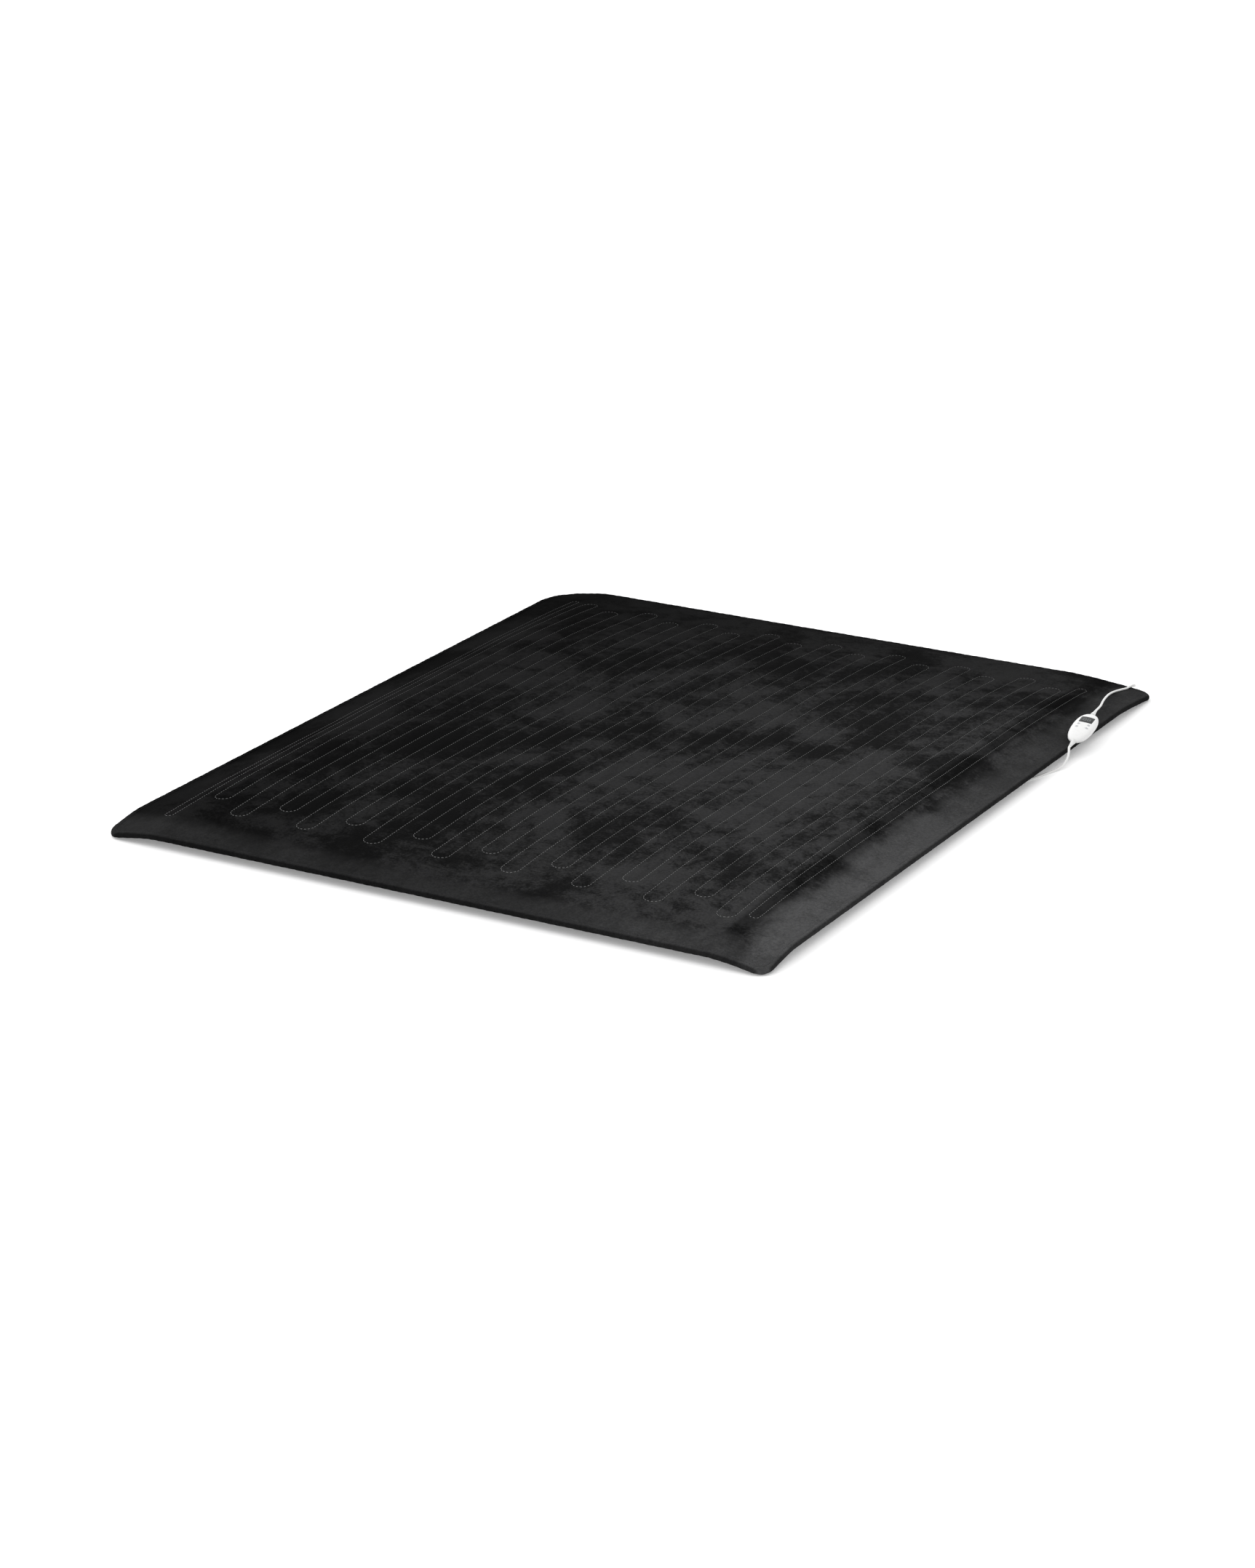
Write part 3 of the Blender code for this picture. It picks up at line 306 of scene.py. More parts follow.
def woven(name, colour, threads, roughness=0.9, depth=0.5):
    """Cloth with crossing threads."""
    made, tree, shader = new_material(name, colour, roughness, Sheen_Weight=0.02, Sheen_Roughness=0.5,
                                      Specular_IOR_Level=0.08)
    place = coordinates(tree)
    heights = []
    for direction in ("X", "Y"):
        wave = tree.nodes.new("ShaderNodeTexWave")
        wave.bands_direction = direction
        wave.inputs["Scale"].default_value = threads
        wave.inputs["Distortion"].default_value = 0.6
        tree.links.new(place, wave.inputs["Vector"])
        heights.append(wave.outputs["Fac"])
    height = maths(tree, "MULTIPLY", *heights)
    wear = noise_of(tree, place, 45.0, 4.0)
    darker = tuple(0.55 * c for c in colour)
    lighter = tuple(min(1.0, 1.35 * c) for c in colour)
    shade = maths(tree, "ADD", maths(tree, "MULTIPLY", height, 0.6), maths(tree, "MULTIPLY", wear, 0.4))
    tree.links.new(mixed(tree, ranged(tree, shade, 0.2, 0.7), darker, lighter), shader.inputs["Base Color"])
    bumped(tree, shader, height, depth, 0.0004)
    return made


def moulded(name, colour, roughness, texture=900.0, depth=0.05, spread=0.04, **sockets):
    """Moulded plastic: a fine even texture, with roughness that wanders a little as handled plastic has."""
    made, tree, shader = new_material(name, colour, roughness, **sockets)
    place = coordinates(tree)
    smear = noise_of(tree, place, 120.0, 5.0, 0.6, 0.4)
    tree.links.new(ranged(tree, smear, 0.3, 0.7, roughness - spread, roughness + spread), shader.inputs["Roughness"])
    darker = tuple(0.94 * c for c in colour)
    tree.links.new(mixed(tree, ranged(tree, smear, 0.25, 0.6), darker, colour), shader.inputs["Base Color"])
    bumped(tree, shader, noise_of(tree, place, texture, 2.0), depth, 0.0001)
    return made


def brushed_metal(name, colour, roughness):
    made, tree, shader = new_material(name, colour, roughness, Metallic=1.0)
    place = coordinates(tree)
    lines = noise_of(tree, place, 700.0, 3.0, 0.6, 0.0, (0.1, 1.0, 1.0))
    tree.links.new(ranged(tree, lines, 0.3, 0.7, roughness - 0.08, roughness + 0.10), shader.inputs["Roughness"])
    bumped(tree, shader, lines, 0.08, 0.0001)
    return made


LOOK = {
    "plush": plush("black_plush", True),
    "plush_under": plush("black_plush_under"),
    "hem": plush("turned_plush", True, 0.42),
    "liner": woven("grey_fleece", (0.260, 0.260, 0.270), 240.0),
    "thread": thread("quilting_thread"),
    "dark_thread": woven("hem_thread", (0.022, 0.022, 0.024), 1400.0, 0.7),
    "wire_skin": moulded("wire_skin_silicone", (0.600, 0.090, 0.070), 0.50, 500.0),
    "ceramic": moulded("pale_ceramic", (0.750, 0.740, 0.700), 0.40, 300.0, 0.10),
    "black_plastic": moulded("black_moulding", (0.020, 0.020, 0.021), 0.48, 1500.0, 0.20),
    "white_plastic": moulded("white_moulding", (0.700, 0.700, 0.695), 0.34, 1200.0, 0.04, Specular_IOR_Level=0.30),
    "cord_skin": moulded("white_cord", (0.700, 0.700, 0.692), 0.45, 400.0, 0.10, Specular_IOR_Level=0.30),
    "key_plastic": moulded("grey_key", (0.500, 0.510, 0.530), 0.38, 1600.0, 0.10),
    "smoked_lens": moulded("smoked_window", (0.008, 0.009, 0.010), 0.14, 60.0, 0.01, 0.02, Specular_IOR_Level=0.10),
    "display_glass": moulded("display_glass", (0.050, 0.062, 0.066), 0.16, 80.0, 0.01),
    "segments": moulded("display_segments", (0.120, 0.135, 0.135), 0.30, 80.0, 0.01),
    "board": moulded("circuit_laminate", (0.020, 0.160, 0.060), 0.45, 260.0, 0.25),
    "steel": brushed_metal("plated_steel", (0.560, 0.560, 0.570), 0.32),
    "brass": brushed_metal("contact_brass", (0.720, 0.580, 0.320), 0.26),
}


def dress(piece, look):
    piece.data.materials.clear()
    piece.data.materials.append(LOOK[look])
    return piece


# ---------------------------------------------------------------- mesh helpers


def add_object(name, data):
    made = bpy.data.objects.new(name, data)
    bpy.context.scene.collection.objects.link(made)
    return made


def mesh_object(name, points, faces, angle=60):
    mesh = bpy.data.meshes.new(name)
    mesh.from_pydata([tuple(p) for p in points], [], faces)
    mesh.validate()
    mesh.shade_smooth()
    mesh.set_sharp_from_angle(angle=math.radians(angle))
    return add_object(name, mesh)


def from_bmesh(name, bm, angle=35):
    bmesh.ops.recalc_face_normals(bm, faces=bm.faces)
    mesh = bpy.data.meshes.new(name)
    bm.to_mesh(mesh)
    bm.free()
    mesh.shade_smooth()
    mesh.set_sharp_from_angle(angle=math.radians(angle))
    return add_object(name, mesh)


def applied(obj):
    """Makes the object's modifiers part of its mesh."""
    graph = bpy.context.evaluated_depsgraph_get()
    mesh = bpy.data.meshes.new_from_object(obj.evaluated_get(graph))
    old = obj.data
    obj.modifiers.clear()
    obj.data = mesh
    bpy.data.meshes.remove(old)
    return obj


def lathe(name, profile, sides, matrix):
    """A closed solid turned about Z from (radius, height) points, then placed by a matrix."""
    points, faces = [], []
    for radius, height in profile:
        for k in range(sides):
            angle = 2 * math.pi * k / sides
            points.append(matrix @ Vector((radius * math.cos(angle), radius * math.sin(angle), height)))
    for ring in range(len(profile) - 1):
        for k in range(sides):
            a, b = ring * sides + k, ring * sides + (k + 1) % sides
            faces.append((a, a + sides, b + sides, b))
    faces.append(tuple(range(sides)))
    faces.append(tuple(reversed(range((len(profile) - 1) * sides, len(profile) * sides))))
    made = mesh_object(name, points, faces, 38)
    bm = bmesh.new()
    bm.from_mesh(made.data)
    bmesh.ops.recalc_face_normals(bm, faces=bm.faces)
    bm.to_mesh(made.data)
    bm.free()
    return made


def smooth_route(points, spacing):
    """Points about spacing apart on a Catmull-Rom curve through the given ones."""
    points = [Vector(p) for p in points]
    ends = [2 * points[0] - points[1], *points, 2 * points[-1] - points[-2]]
    fine = []
    for before, start, stop, after in zip(ends, ends[1:], ends[2:], ends[3:]):
        for step in range(24):
            t = step / 24
            fine.append(0.5 * (2 * start + (stop - before) * t + (2 * before - 5 * start + 4 * stop - after) * t**2
                               + (3 * start - before - 3 * stop + after) * t**3))
    fine.append(points[-1])
    travelled = [0.0]
    for first, second in zip(fine, fine[1:]):
        travelled.append(travelled[-1] + (second - first).length)
    count = max(2, round(travelled[-1] / spacing))
    route, at = [], 0
    for step in range(count + 1):
        wanted = travelled[-1] * step / count
        while at < len(fine) - 2 and travelled[at + 1] < wanted:
            at += 1
        share = (wanted - travelled[at]) / max(travelled[at + 1] - travelled[at], 1e-9)
        route.append(fine[at].lerp(fine[at + 1], share))
    return route


def cord_curve(name, points, diameter):
    curve = bpy.data.curves.new(name, "CURVE")
    curve.dimensions = "3D"
    curve.bevel_depth = diameter / 2
    curve.bevel_resolution = 5
    curve.use_fill_caps = True
    spline = curve.splines.new("POLY")
    spline.points.add(len(points) - 1)
    for spot, point in zip(spline.points, points):
        spot.co = (*point, 1.0)
    spline.use_smooth = True
    return add_object(name, curve)


# ---------------------------------------------------------------- how the blanket lies


def ease(share):
    share = np.clip(share, 0.0, 1.0)
    return share * share * (3 - 2 * share)


def lie(x, y):
    """Height of the bottom cover's underside at places given as arrays."""
    x, y = np.asarray(x, float), np.asarray(y, float)
    in_x, in_y = HALF_X - np.abs(x), HALF_Y - np.abs(y)
    swell = 1 - np.clip(1 - in_y / CROWN_END, 0.0, 1.0) ** CROWN_SWELL
    rise = CROWN * ease(in_x / CROWN_SIDE) * swell
    reach = np.where(x > 0, np.where(y > 0, CORNER_REACH[(1, 1)], CORNER_REACH[(1, -1)]),
                     np.where(y > 0, CORNER_REACH[(-1, 1)], CORNER_REACH[(-1, -1)]))
    left = np.clip(1 - np.hypot(np.maximum(in_x, 0), np.maximum(in_y, 0)) / reach, 0.0, 1.0)
    drop = np.minimum(EDGE_LIFT, CORNER_DROP * EDGE_LIFT * left**CORNER_EASE)
    return BINDING + GAP + EDGE_LIFT + rise - drop


def stitch_loops():
    """Every closed loop of quilting as (centre x, half width, near end, far end)."""
    loops = []
    for k in range(LOOPS):
        centre = LOOP_OFFSET + (k - (LOOPS - 1) / 2) * LOOP_PITCH
        even = k % 2 == 0
        near = SHORT_NEAR if even else LONG_NEAR
        far = LONG_FAR if even else SHORT_FAR
        loops.append((centre, LOOP_HALF_WIDTH, near, far))
    loops.append((-0.5755, 0.0080, -0.715, 0.715))
    loops.append((0.5465, 0.0090, -0.650, 0.700))
    return loops


ALL_LOOPS = stitch_loops()


def from_stitching(x, y):
    """Distance from each place to the nearest stitch line."""
    nearest = np.full(np.shape(x), 1.0)
    for centre, half, near, far in ALL_LOOPS:
        along = y - np.clip(y, near + half, far - half)
        nearest = np.minimum(nearest, np.abs(np.hypot(x - centre, along) - half))
    return nearest


def relief(x, y):
    """Height of the quilting and of the cloth's slow waves over the plain sheet."""
    away = from_stitching(x, y)
    quilt = PUFF * (1 - np.exp(-((away / PUFF_REACH) ** 2))) - GROOVE * np.exp(-((away / GROOVE_REACH) ** 2))
    waves = (0.0008 * np.sin(9.1 * x + 4.3 * y + 0.6) * np.sin(7.4 * y - 3.1 * x)
             + 0.0006 * np.sin(23.0 * x - 12.0 * y + 1.9) * np.sin(15.0 * y + 6.0 * x + 0.4))
    crease = -0.0016 * np.exp(-(((y - 0.10 - 0.10 * (x + 0.15)) / 0.022) ** 2)) * np.exp(-(((x + 0.16) / 0.16) ** 2))
    inside = ease((HALF_X - np.abs(x) - 0.010) / 0.035) * ease((HALF_Y - np.abs(y) - 0.010) / 0.035)
    return (quilt + waves + crease) * inside


def top_height(x, y):
    return lie(x, y) + STACK + relief(x, y)


def under_height(x, y):
    return lie(x, y) - 0.4 * relief(x, y)


def rounded(x, y, half_x, half_y, radius):
    """Moves the places in each corner's square onto rings round the corner's centre."""
    centre_x, centre_y = half_x - radius, half_y - radius
    out_x, out_y = np.abs(x) - centre_x, np.abs(y) - centre_y
    corner = (out_x > 0) & (out_y > 0)
    length = np.maximum(np.hypot(out_x, out_y), 1e-9)
    scale = np.where(corner, np.maximum(np.abs(out_x), np.abs(out_y)) / length, 1.0)
    new_x = np.where(corner, np.sign(x) * (centre_x + out_x * scale), x)
    new_y = np.where(corner, np.sign(y) * (centre_y + out_y * scale), y)
    return new_x, new_y


def spread(low, high, step, extra=()):
    """Sorted places from low to high no further than step apart, with the extra ones among them."""
    fixed = sorted({round(p, 5) for p in (low, high, *extra) if low <= p <= high})
    places = []
    for first, second in zip(fixed, fixed[1:]):
        parts = max(1, math.ceil((second - first) / step))
        places += [first + (second - first) * k / parts for k in range(parts)]
    return np.array([*places, fixed[-1]])


def sheet_mesh(name, height, inset, step, beside, upward=True):
    """A sheet over the whole blanket inside the hem, with columns of points on and beside each stitch line."""
    half_x, half_y = WIDTH / 2 - inset, LENGTH / 2 - inset
    lines = [centre + side * half for centre, half, _, _ in ALL_LOOPS for side in (-1, 1)]
    columns = spread(-half_x, half_x, step, [line + away for line in lines for away in beside])
    turns = [end for band in ((LONG_NEAR, SHORT_NEAR + 0.02), (SHORT_FAR - 0.02, LONG_FAR))
             for end in np.arange(band[0], band[1], step / 2)]
    rows = spread(-half_y, half_y, step, turns)
    x, y = np.meshgrid(columns, rows)
    x, y = rounded(x, y, half_x, half_y, CORNER_RADIUS - inset)
    z = height(x, y)
    points = np.stack([x.ravel(), y.ravel(), z.ravel()], axis=1)
    across = len(columns)
    row, column = np.meshgrid(np.arange(len(rows) - 1), np.arange(across - 1), indexing="ij")
    first = (row * across + column).ravel()
    quads = np.stack([first, first + 1, first + across + 1, first + across], axis=1)
    if not upward:
        quads = quads[:, ::-1]
    made = mesh_object(name, points.tolist(), quads.tolist(), 180)
    return made


# ---------------------------------------------------------------- camera, light and floor


def make_camera():
    lens = bpy.data.cameras.new("photo_camera")
    lens.lens = 96.21
    lens.sensor_width = 36.0
    lens.sensor_fit = "AUTO"
    lens.clip_start = 0.05
    lens.clip_end = 100.0
    camera = add_object("photo_camera", lens)
    camera.location = (3.497, -6.303, 2.5856)
    camera.rotation_euler = (math.radians(90 - 20.0), 0.0, math.radians(29.4))
    bpy.context.scene.camera = camera


def area_light(name, place, size, watts, aim=(0.0, 0.0, 0.0)):
    light = bpy.data.lights.new(name, "AREA")
    light.shape = "RECTANGLE"
    light.size, light.size_y = size
    light.energy = watts
    lamp = add_object(name, light)
    lamp.location = place
    lamp.rotation_euler = (Vector(aim) - Vector(place)).to_track_quat("-Z", "Y").to_euler()


def make_studio():
    world = bpy.data.worlds.new("studio")
    world.use_nodes = True
    tree = world.node_tree
    background = tree.nodes["Background"]
    background.inputs["Color"].default_value = (1.0, 1.0, 1.0, 1.0)
    split = tree.nodes.new("ShaderNodeSeparateXYZ")
    tree.links.new(tree.nodes.new("ShaderNodeTexCoord").outputs["Generated"], split.inputs[0])
    tree.links.new(ranged(tree, split.outputs["X"], -0.8, 0.8, 1.56, 0.86), background.inputs["Strength"])
    bpy.context.scene.world = world
    area_light("key", (-2.6, -1.6, 3.4), (2.4, 2.4), 32.0)
    area_light("fill", (1.2, 3.4, 3.0), (2.4, 2.4), 18.0)
    bpy.context.scene.view_settings.view_transform = "Standard"
    floor_mesh = bpy.data.meshes.new("floor")
    reach = 40.0
    corners = [(-reach, -reach, 0.0), (reach, -reach, 0.0), (reach, reach, 0.0), (-reach, reach, 0.0)]
    floor_mesh.from_pydata(corners, [], [(0, 1, 2, 3)])
    floor = add_object("floor", floor_mesh)
    pale, tree, shader = new_material("pale_floor", (0.82, 0.82, 0.82), 0.9, Specular_IOR_Level=0.1,
                                      Emission_Strength=0.22)
    shader.inputs["Emission Color"].default_value = (1.0, 1.0, 1.0, 1.0)
    haze = noise_of(tree, coordinates(tree), 3.0, 2.0)
    tree.links.new(mixed(tree, haze, (0.815, 0.815, 0.815), (0.825, 0.825, 0.825)), shader.inputs["Base Color"])
    floor_mesh.materials.append(pale)


# ---------------------------------------------------------------- cords


CONTROLLER = Matrix.Translation(CONTROLLER_PLACE) @ Euler(CONTROLLER_TURN, "YXZ").to_matrix().to_4x4()
CONTROLLER_ALONG = CONTROLLER.to_3x3() @ Vector((0, 1, 0))
REACH = CASE_HALF_LENGTH + RELIEF_OUTSIDE + RELIEF_LENGTH + GAP
CORNER = Vector((WIDTH / 2, LENGTH / 2))


def on_blanket(x, y, diameter):
    height = float(top_height(x, y))
    if max(abs(x) - HALF_X, abs(y) - HALF_Y) > -0.014:
        height = float(lie(x, y)) + STACK + 0.0013
    return height + diameter / 2


def make_lead():
    start = Vector(CONTROLLER_PLACE) + CONTROLLER_ALONG * REACH
    points = [start, start + CONTROLLER_ALONG * STRAIGHT, start + CONTROLLER_ALONG * 2 * STRAIGHT]
    for dx, dy, clear in LEAD_ON_TOP:
        x, y = CORNER.x + dx, CORNER.y + dy
        points.append(Vector((x, y, on_blanket(x, y, LEAD) + clear)))
    points += [Vector((CORNER.x + dx, CORNER.y + dy, z)) for dx, dy, z in LEAD_BEHIND]
    end = Vector((HALF_X + CONNECTOR_FROM_CORNER[0], HALF_Y + CONNECTOR_FROM_CORNER[1] + GAP, CONNECTOR_HEIGHT))
    route = smooth_route([*points, end], 0.003)
    for point in route[2:]:
        if point.z > HEM_TOP / 2 and point.y < HALF_Y:
            point.z = max(point.z, on_blanket(point.x, point.y, LEAD) - 0.0002)
    lead = dress(cord_curve("lead", route, LEAD), "cord_skin")
    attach(lead, BODY)
    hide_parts("lead_cord")


def coil_points(centre, radii, low):
    """One route round every turn, clockwise: each layer out to in or in to out, then up to the next."""
    turns = [radii if layer % 2 == 0 else radii[::-1] for layer in range(COIL_LAYERS)]
    plan = [(radius, low + layer * MAINS) for layer, ring in enumerate(turns) for radius in ring]
    steps = 40
    width = 0.22
    points = []
    for step in range(len(plan) * steps + 1):
        turn = step / steps
        nearest = round(turn)
        share = float(ease((turn - nearest) / width + 0.5))
        before = plan[min(max(nearest - 1, 0), len(plan) - 1)]
        after = plan[min(nearest, len(plan) - 1)]
        radius = before[0] + (after[0] - before[0]) * share
        height = before[1] + (after[1] - before[1]) * share
        angle = -2 * math.pi * turn
        points.append(Vector((centre.x + radius * math.cos(angle), centre.y + radius * math.sin(angle), height)))
    return points


def make_mains():
    start = Vector(CONTROLLER_PLACE) - CONTROLLER_ALONG * REACH
    coil = CORNER + Vector(COIL_FROM_CORNER)
    half_across = COIL_ACROSS * MAINS / 2
    turn_radius = COIL_RADIUS + half_across - MAINS / 2
    low = COIL_BASE + MAINS / 2
    points = [start, start - CONTROLLER_ALONG * STRAIGHT, start - CONTROLLER_ALONG * 2 * STRAIGHT]
    points += [Vector((CORNER.x + dx, CORNER.y + dy, z)) for dx, dy, z in MAINS_ROUTE]
    points.append(Vector((coil.x + turn_radius, coil.y + 0.014, low)))
    points.append(Vector((coil.x + turn_radius, coil.y + 0.003, low)))
    route = smooth_route(points, 0.003)
    radii = [COIL_RADIUS + (k - (COIL_ACROSS - 1) / 2) * MAINS for k in range(COIL_ACROSS - 1, -1, -1)]
    route += coil_points(coil, radii, low)
    top = COIL_BASE + COIL_LAYERS * MAINS - MAINS / 2
    tail = [route[-1] + Vector((0, -0.004, 0)), Vector((coil.x + turn_radius, coil.y - 0.012, top))]
    tail += [Vector((coil.x + turn_radius + dx, coil.y + dy, z)) for dx, dy, z in TAIL_ROUTE]
    end = tail[-1] + Vector((-0.012, -0.0005, 0.0))
    end.z = PLUG_CENTRE
    route += smooth_route([*tail, end], 0.003)
    mains = dress(cord_curve("mains_lead", route, MAINS), "cord_skin")
    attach(mains, BODY)
    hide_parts("mains_cord", "mains_coil", "mains_cord_tail")
    plug = make_plug(end)


def make_plug(end):
    """The plug's body: rounded, a little waisted, with finger ridges on both broad sides."""
    low, high = (Vector(corner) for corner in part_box("mains_plug_body"))
    middle, half = (low + high) / 2, (high - low) / 2
    bm = bmesh.new()
    rings = 26
    sides = 36
    loops = []
    for ring in range(rings + 1):
        share = ring / rings
        along = -half.x + 2 * half.x * share
        cap = (1 - abs(2 * share - 1) ** 9) ** 0.35
        waist = 1 - 0.14 * math.exp(-(((share - 0.62) / 0.18) ** 2))
        ridge = 0.0004 * max(0.0, math.sin(share * 2 * math.pi * 9)) if 0.35 < share < 0.9 else 0.0
        loop = []
        for k in range(sides):
            angle = 2 * math.pi * k / sides
            c, s = math.cos(angle), math.sin(angle)
            y = math.copysign(abs(c) ** 0.45, c) * half.y * waist * cap
            z = math.copysign(abs(s) ** 0.45, s) * (half.z - 0.0004 + ridge * abs(s)) * cap
            loop.append(bm.verts.new((middle.x + along, middle.y + y, middle.z + z)))
        loops.append(loop)
    for first, second in zip(loops, loops[1:]):
        for k in range(sides):
            bm.faces.new((first[k - 1], first[k], second[k], second[k - 1]))
    bmesh.ops.remove_doubles(bm, verts=bm.verts, dist=0.00001)
    body = dress(from_bmesh("plug_body", bm, 50), "white_plastic")
    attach(body, BODY)
    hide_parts("mains_plug_body")
    return body


# ---------------------------------------------------------------- the blanket


def outline(inset, spacing):
    """Places once round the blanket at a distance inside its outer edge, with the outward direction at each."""
    half_x, half_y = WIDTH / 2 - inset, LENGTH / 2 - inset
    radius = CORNER_RADIUS - inset
    places = []
    corners = [(1, -1, -90), (1, 1, 0), (-1, 1, 90), (-1, -1, 180)]
    for number, (sx, sy, start) in enumerate(corners):
        centre = Vector((sx * (half_x - radius), sy * (half_y - radius)))
        steps = 14
        for step in range(steps + 1):
            angle = math.radians(start + 90 * step / steps)
            out = Vector((math.cos(angle), math.sin(angle)))
            places.append((centre + out * radius, out))
        next_x, next_y, next_start = corners[(number + 1) % 4]
        target = Vector((next_x * (half_x - radius), next_y * (half_y - radius)))
        out = Vector((math.cos(math.radians(next_start)), math.sin(math.radians(next_start))))
        first, last = centre + out * radius, target + out * radius
        count = max(2, round((last - first).length / spacing))
        places += [(first.lerp(last, step / count), out) for step in range(1, count)]
    return places


def make_hem():
    """The turned edge: a soft roll round all four sides, drawn in a little at each stitch."""
    section = [(-0.0118, 1.0, -0.0004), (-0.0105, 1.0, 0.0006), (-0.0092, 1.0, 0.0008), (-0.0076, 1.0, 0.0011),
               (-0.0050, 1.0, 0.0012), (-0.0030, 1.0, 0.0008), (-0.0014, 1.0, -0.0003), (-0.0005, 0.86, 0.0),
               (0.0, 0.66, 0.0), (0.0002, 0.50, 0.0), (0.0, 0.34, 0.0), (-0.0005, 0.14, 0.0), (-0.0014, 0.0, 0.0003),
               (-0.0030, 0.0, -0.0006), (-0.0050, 0.0, -0.0008), (-0.0092, 0.0, -0.0008), (-0.0118, 0.0, 0.0004)]
    places = outline(0.0, 0.0042)
    count = len(section)
    points, faces = [], []
    travelled = 0.0
    previous = places[0][0]
    for place, out in places:
        travelled += (place - previous).length
        previous = place
        pucker = (0.00022 * math.sin(2 * math.pi * travelled / 0.0170)
                  + 0.00016 * math.sin(2 * math.pi * travelled / 0.061))
        for inward, share, lift in section:
            spot = place + out * inward
            base = float(lie(spot.x, spot.y))
            swell = 1.0 if -0.009 < inward < -0.001 else 0.3
            side = 1 if share > 0.5 else -1
            height = base + STACK * share + lift + side * pucker * swell
            points.append((spot.x, spot.y, max(height, 0.0001)))
    total = len(places)
    for k in range(total):
        for j in range(count - 1):
            a, b = k * count + j, ((k + 1) % total) * count + j
            faces.append((a, a + 1, b + 1, b))
    hem = dress(mesh_object("turned_hem", points, faces, 180), "hem")
    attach(hem, BODY)
    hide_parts("edge_binding")
    return hem


def dashes(name, stations, look, width, length, height):
    """One mesh of many short raised stitches. Each station is (place, direction, height of the cloth there)."""
    points, faces = [], []
    side = math.copysign(1.0, height)
    shape = [(-0.5, 0.0, 0.10), (-0.28, -0.5, 0.0), (-0.28, 0.0, 1.0), (-0.28, 0.5, 0.0),
             (0.28, -0.5, 0.0), (0.28, 0.0, 1.0), (0.28, 0.5, 0.0), (0.5, 0.0, 0.10)]
    shell = [(0, 2, 1), (0, 3, 2), (1, 2, 5, 4), (2, 3, 6, 5), (4, 5, 7), (5, 6, 7), (0, 1, 4, 7), (0, 7, 6, 3)]
    for (x, y), (ux, uy), z, tilt in stations:
        base = len(points)
        for along, across, up in shape:
            reach = along * length
            points.append((x + ux * reach - uy * across * side * width, y + uy * reach + ux * across * side * width,
                           z + tilt * reach + up * height))
        faces += [tuple(base + k for k in face) for face in shell]
    made = dress(mesh_object(name, points, faces, 180), look)
    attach(made, BODY)
    return made


def loop_stations(centre, half, near, far, phase):
    """Stitch places once round a loop, with the direction of the thread."""
    straight = (far - near) - 2 * half
    around = 2 * straight + 2 * math.pi * half
    count = round(around / STITCH_PITCH)
    for step in range(count):
        s = (step + phase) * around / count % around
        if s < straight:
            yield (centre + half, near + half + s), (0.0, 1.0)
        elif s < straight + math.pi * half:
            angle = (s - straight) / half
            yield (centre + half * math.cos(angle), far - half + half * math.sin(angle)), (-math.sin(angle),
                                                                                          math.cos(angle))
        elif s < 2 * straight + math.pi * half:
            yield (centre - half, far - half - (s - straight - math.pi * half)), (0.0, -1.0)
        else:
            angle = math.pi + (s - 2 * straight - math.pi * half) / half
            yield (centre + half * math.cos(angle), near + half + half * math.sin(angle)), (-math.sin(angle),
                                                                                           math.cos(angle))


def laid_on(stations, height, lift):
    """Adds to each station the cloth's height and its slope along the thread."""
    stations = list(stations)
    x = np.array([place[0] for place, _ in stations])
    y = np.array([place[1] for place, _ in stations])
    ux = np.array([way[0] for _, way in stations])
    uy = np.array([way[1] for _, way in stations])
    step = 0.001
    here = height(x, y)
    ahead = height(x + ux * step, y + uy * step)
    behind = height(x - ux * step, y - uy * step)
    tilt = (ahead - behind) / (2 * step)
    return [(place, way, z + lift, t) for (place, way), z, t in zip(stations, here.tolist(), tilt.tolist())]


def make_blanket():
    beside = (-0.0050, -0.0026, -0.0012, 0.0, 0.0012, 0.0026, 0.0050)
    top = dress(sheet_mesh("plush_top", top_height, 0.0100, 0.0060, beside), "plush")
    under = dress(sheet_mesh("plush_underside", under_height, 0.0100, 0.0120, (-0.0026, 0.0, 0.0026), False),
                  "plush_under")
    hem = make_hem()
    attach(top, BODY)
    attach(under, BODY)
    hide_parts("top_cover")
    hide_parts("bottom_cover")

    stations = []
    for number, (centre, half, near, far) in enumerate(ALL_LOOPS):
        stations += laid_on(loop_stations(centre, half, near, far, 0.37 * number % 1), top_height, 0.0001)
    stitches = dashes("quilt_stitches", stations, "thread", STITCH_WIDTH, STITCH_LENGTH, STITCH_HEIGHT)
    below = [((x, y), way, z - 0.0002, tilt) for (x, y), way, z, tilt in
             laid_on([station[:2] for station in stations], under_height, 0.0)]
    lower_stitches = dashes("lower_quilt_stitches", below, "thread", STITCH_WIDTH, STITCH_LENGTH,
                            -STITCH_HEIGHT)

    hem_line = []
    travelled, previous = 0.0, None
    for place, out in outline(0.0092, 0.0050):
        hem_line.append(((place.x, place.y), (-out.y, out.x)))
    raised = laid_on(hem_line, lambda x, y: lie(x, y) + STACK, 0.0007)
    hem_stitches = dashes("hem_stitches", raised, "dark_thread", 0.0009, 0.0034, 0.0005)

    for name, base, node in (("upper_fleece", 0.0052, "upper_liner"), ("lower_fleece", 0.0026, "lower_liner")):
        fleece = dress(sheet_mesh(name, lambda x, y, base=base: lie(x, y) + base, 0.0110, 0.0250, (0.0,)), "liner")
        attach(fleece, BODY)
        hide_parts(node)


# ---------------------------------------------------------------- the controller


def signed_power(value, power):
    return math.copysign(abs(value) ** power, value)


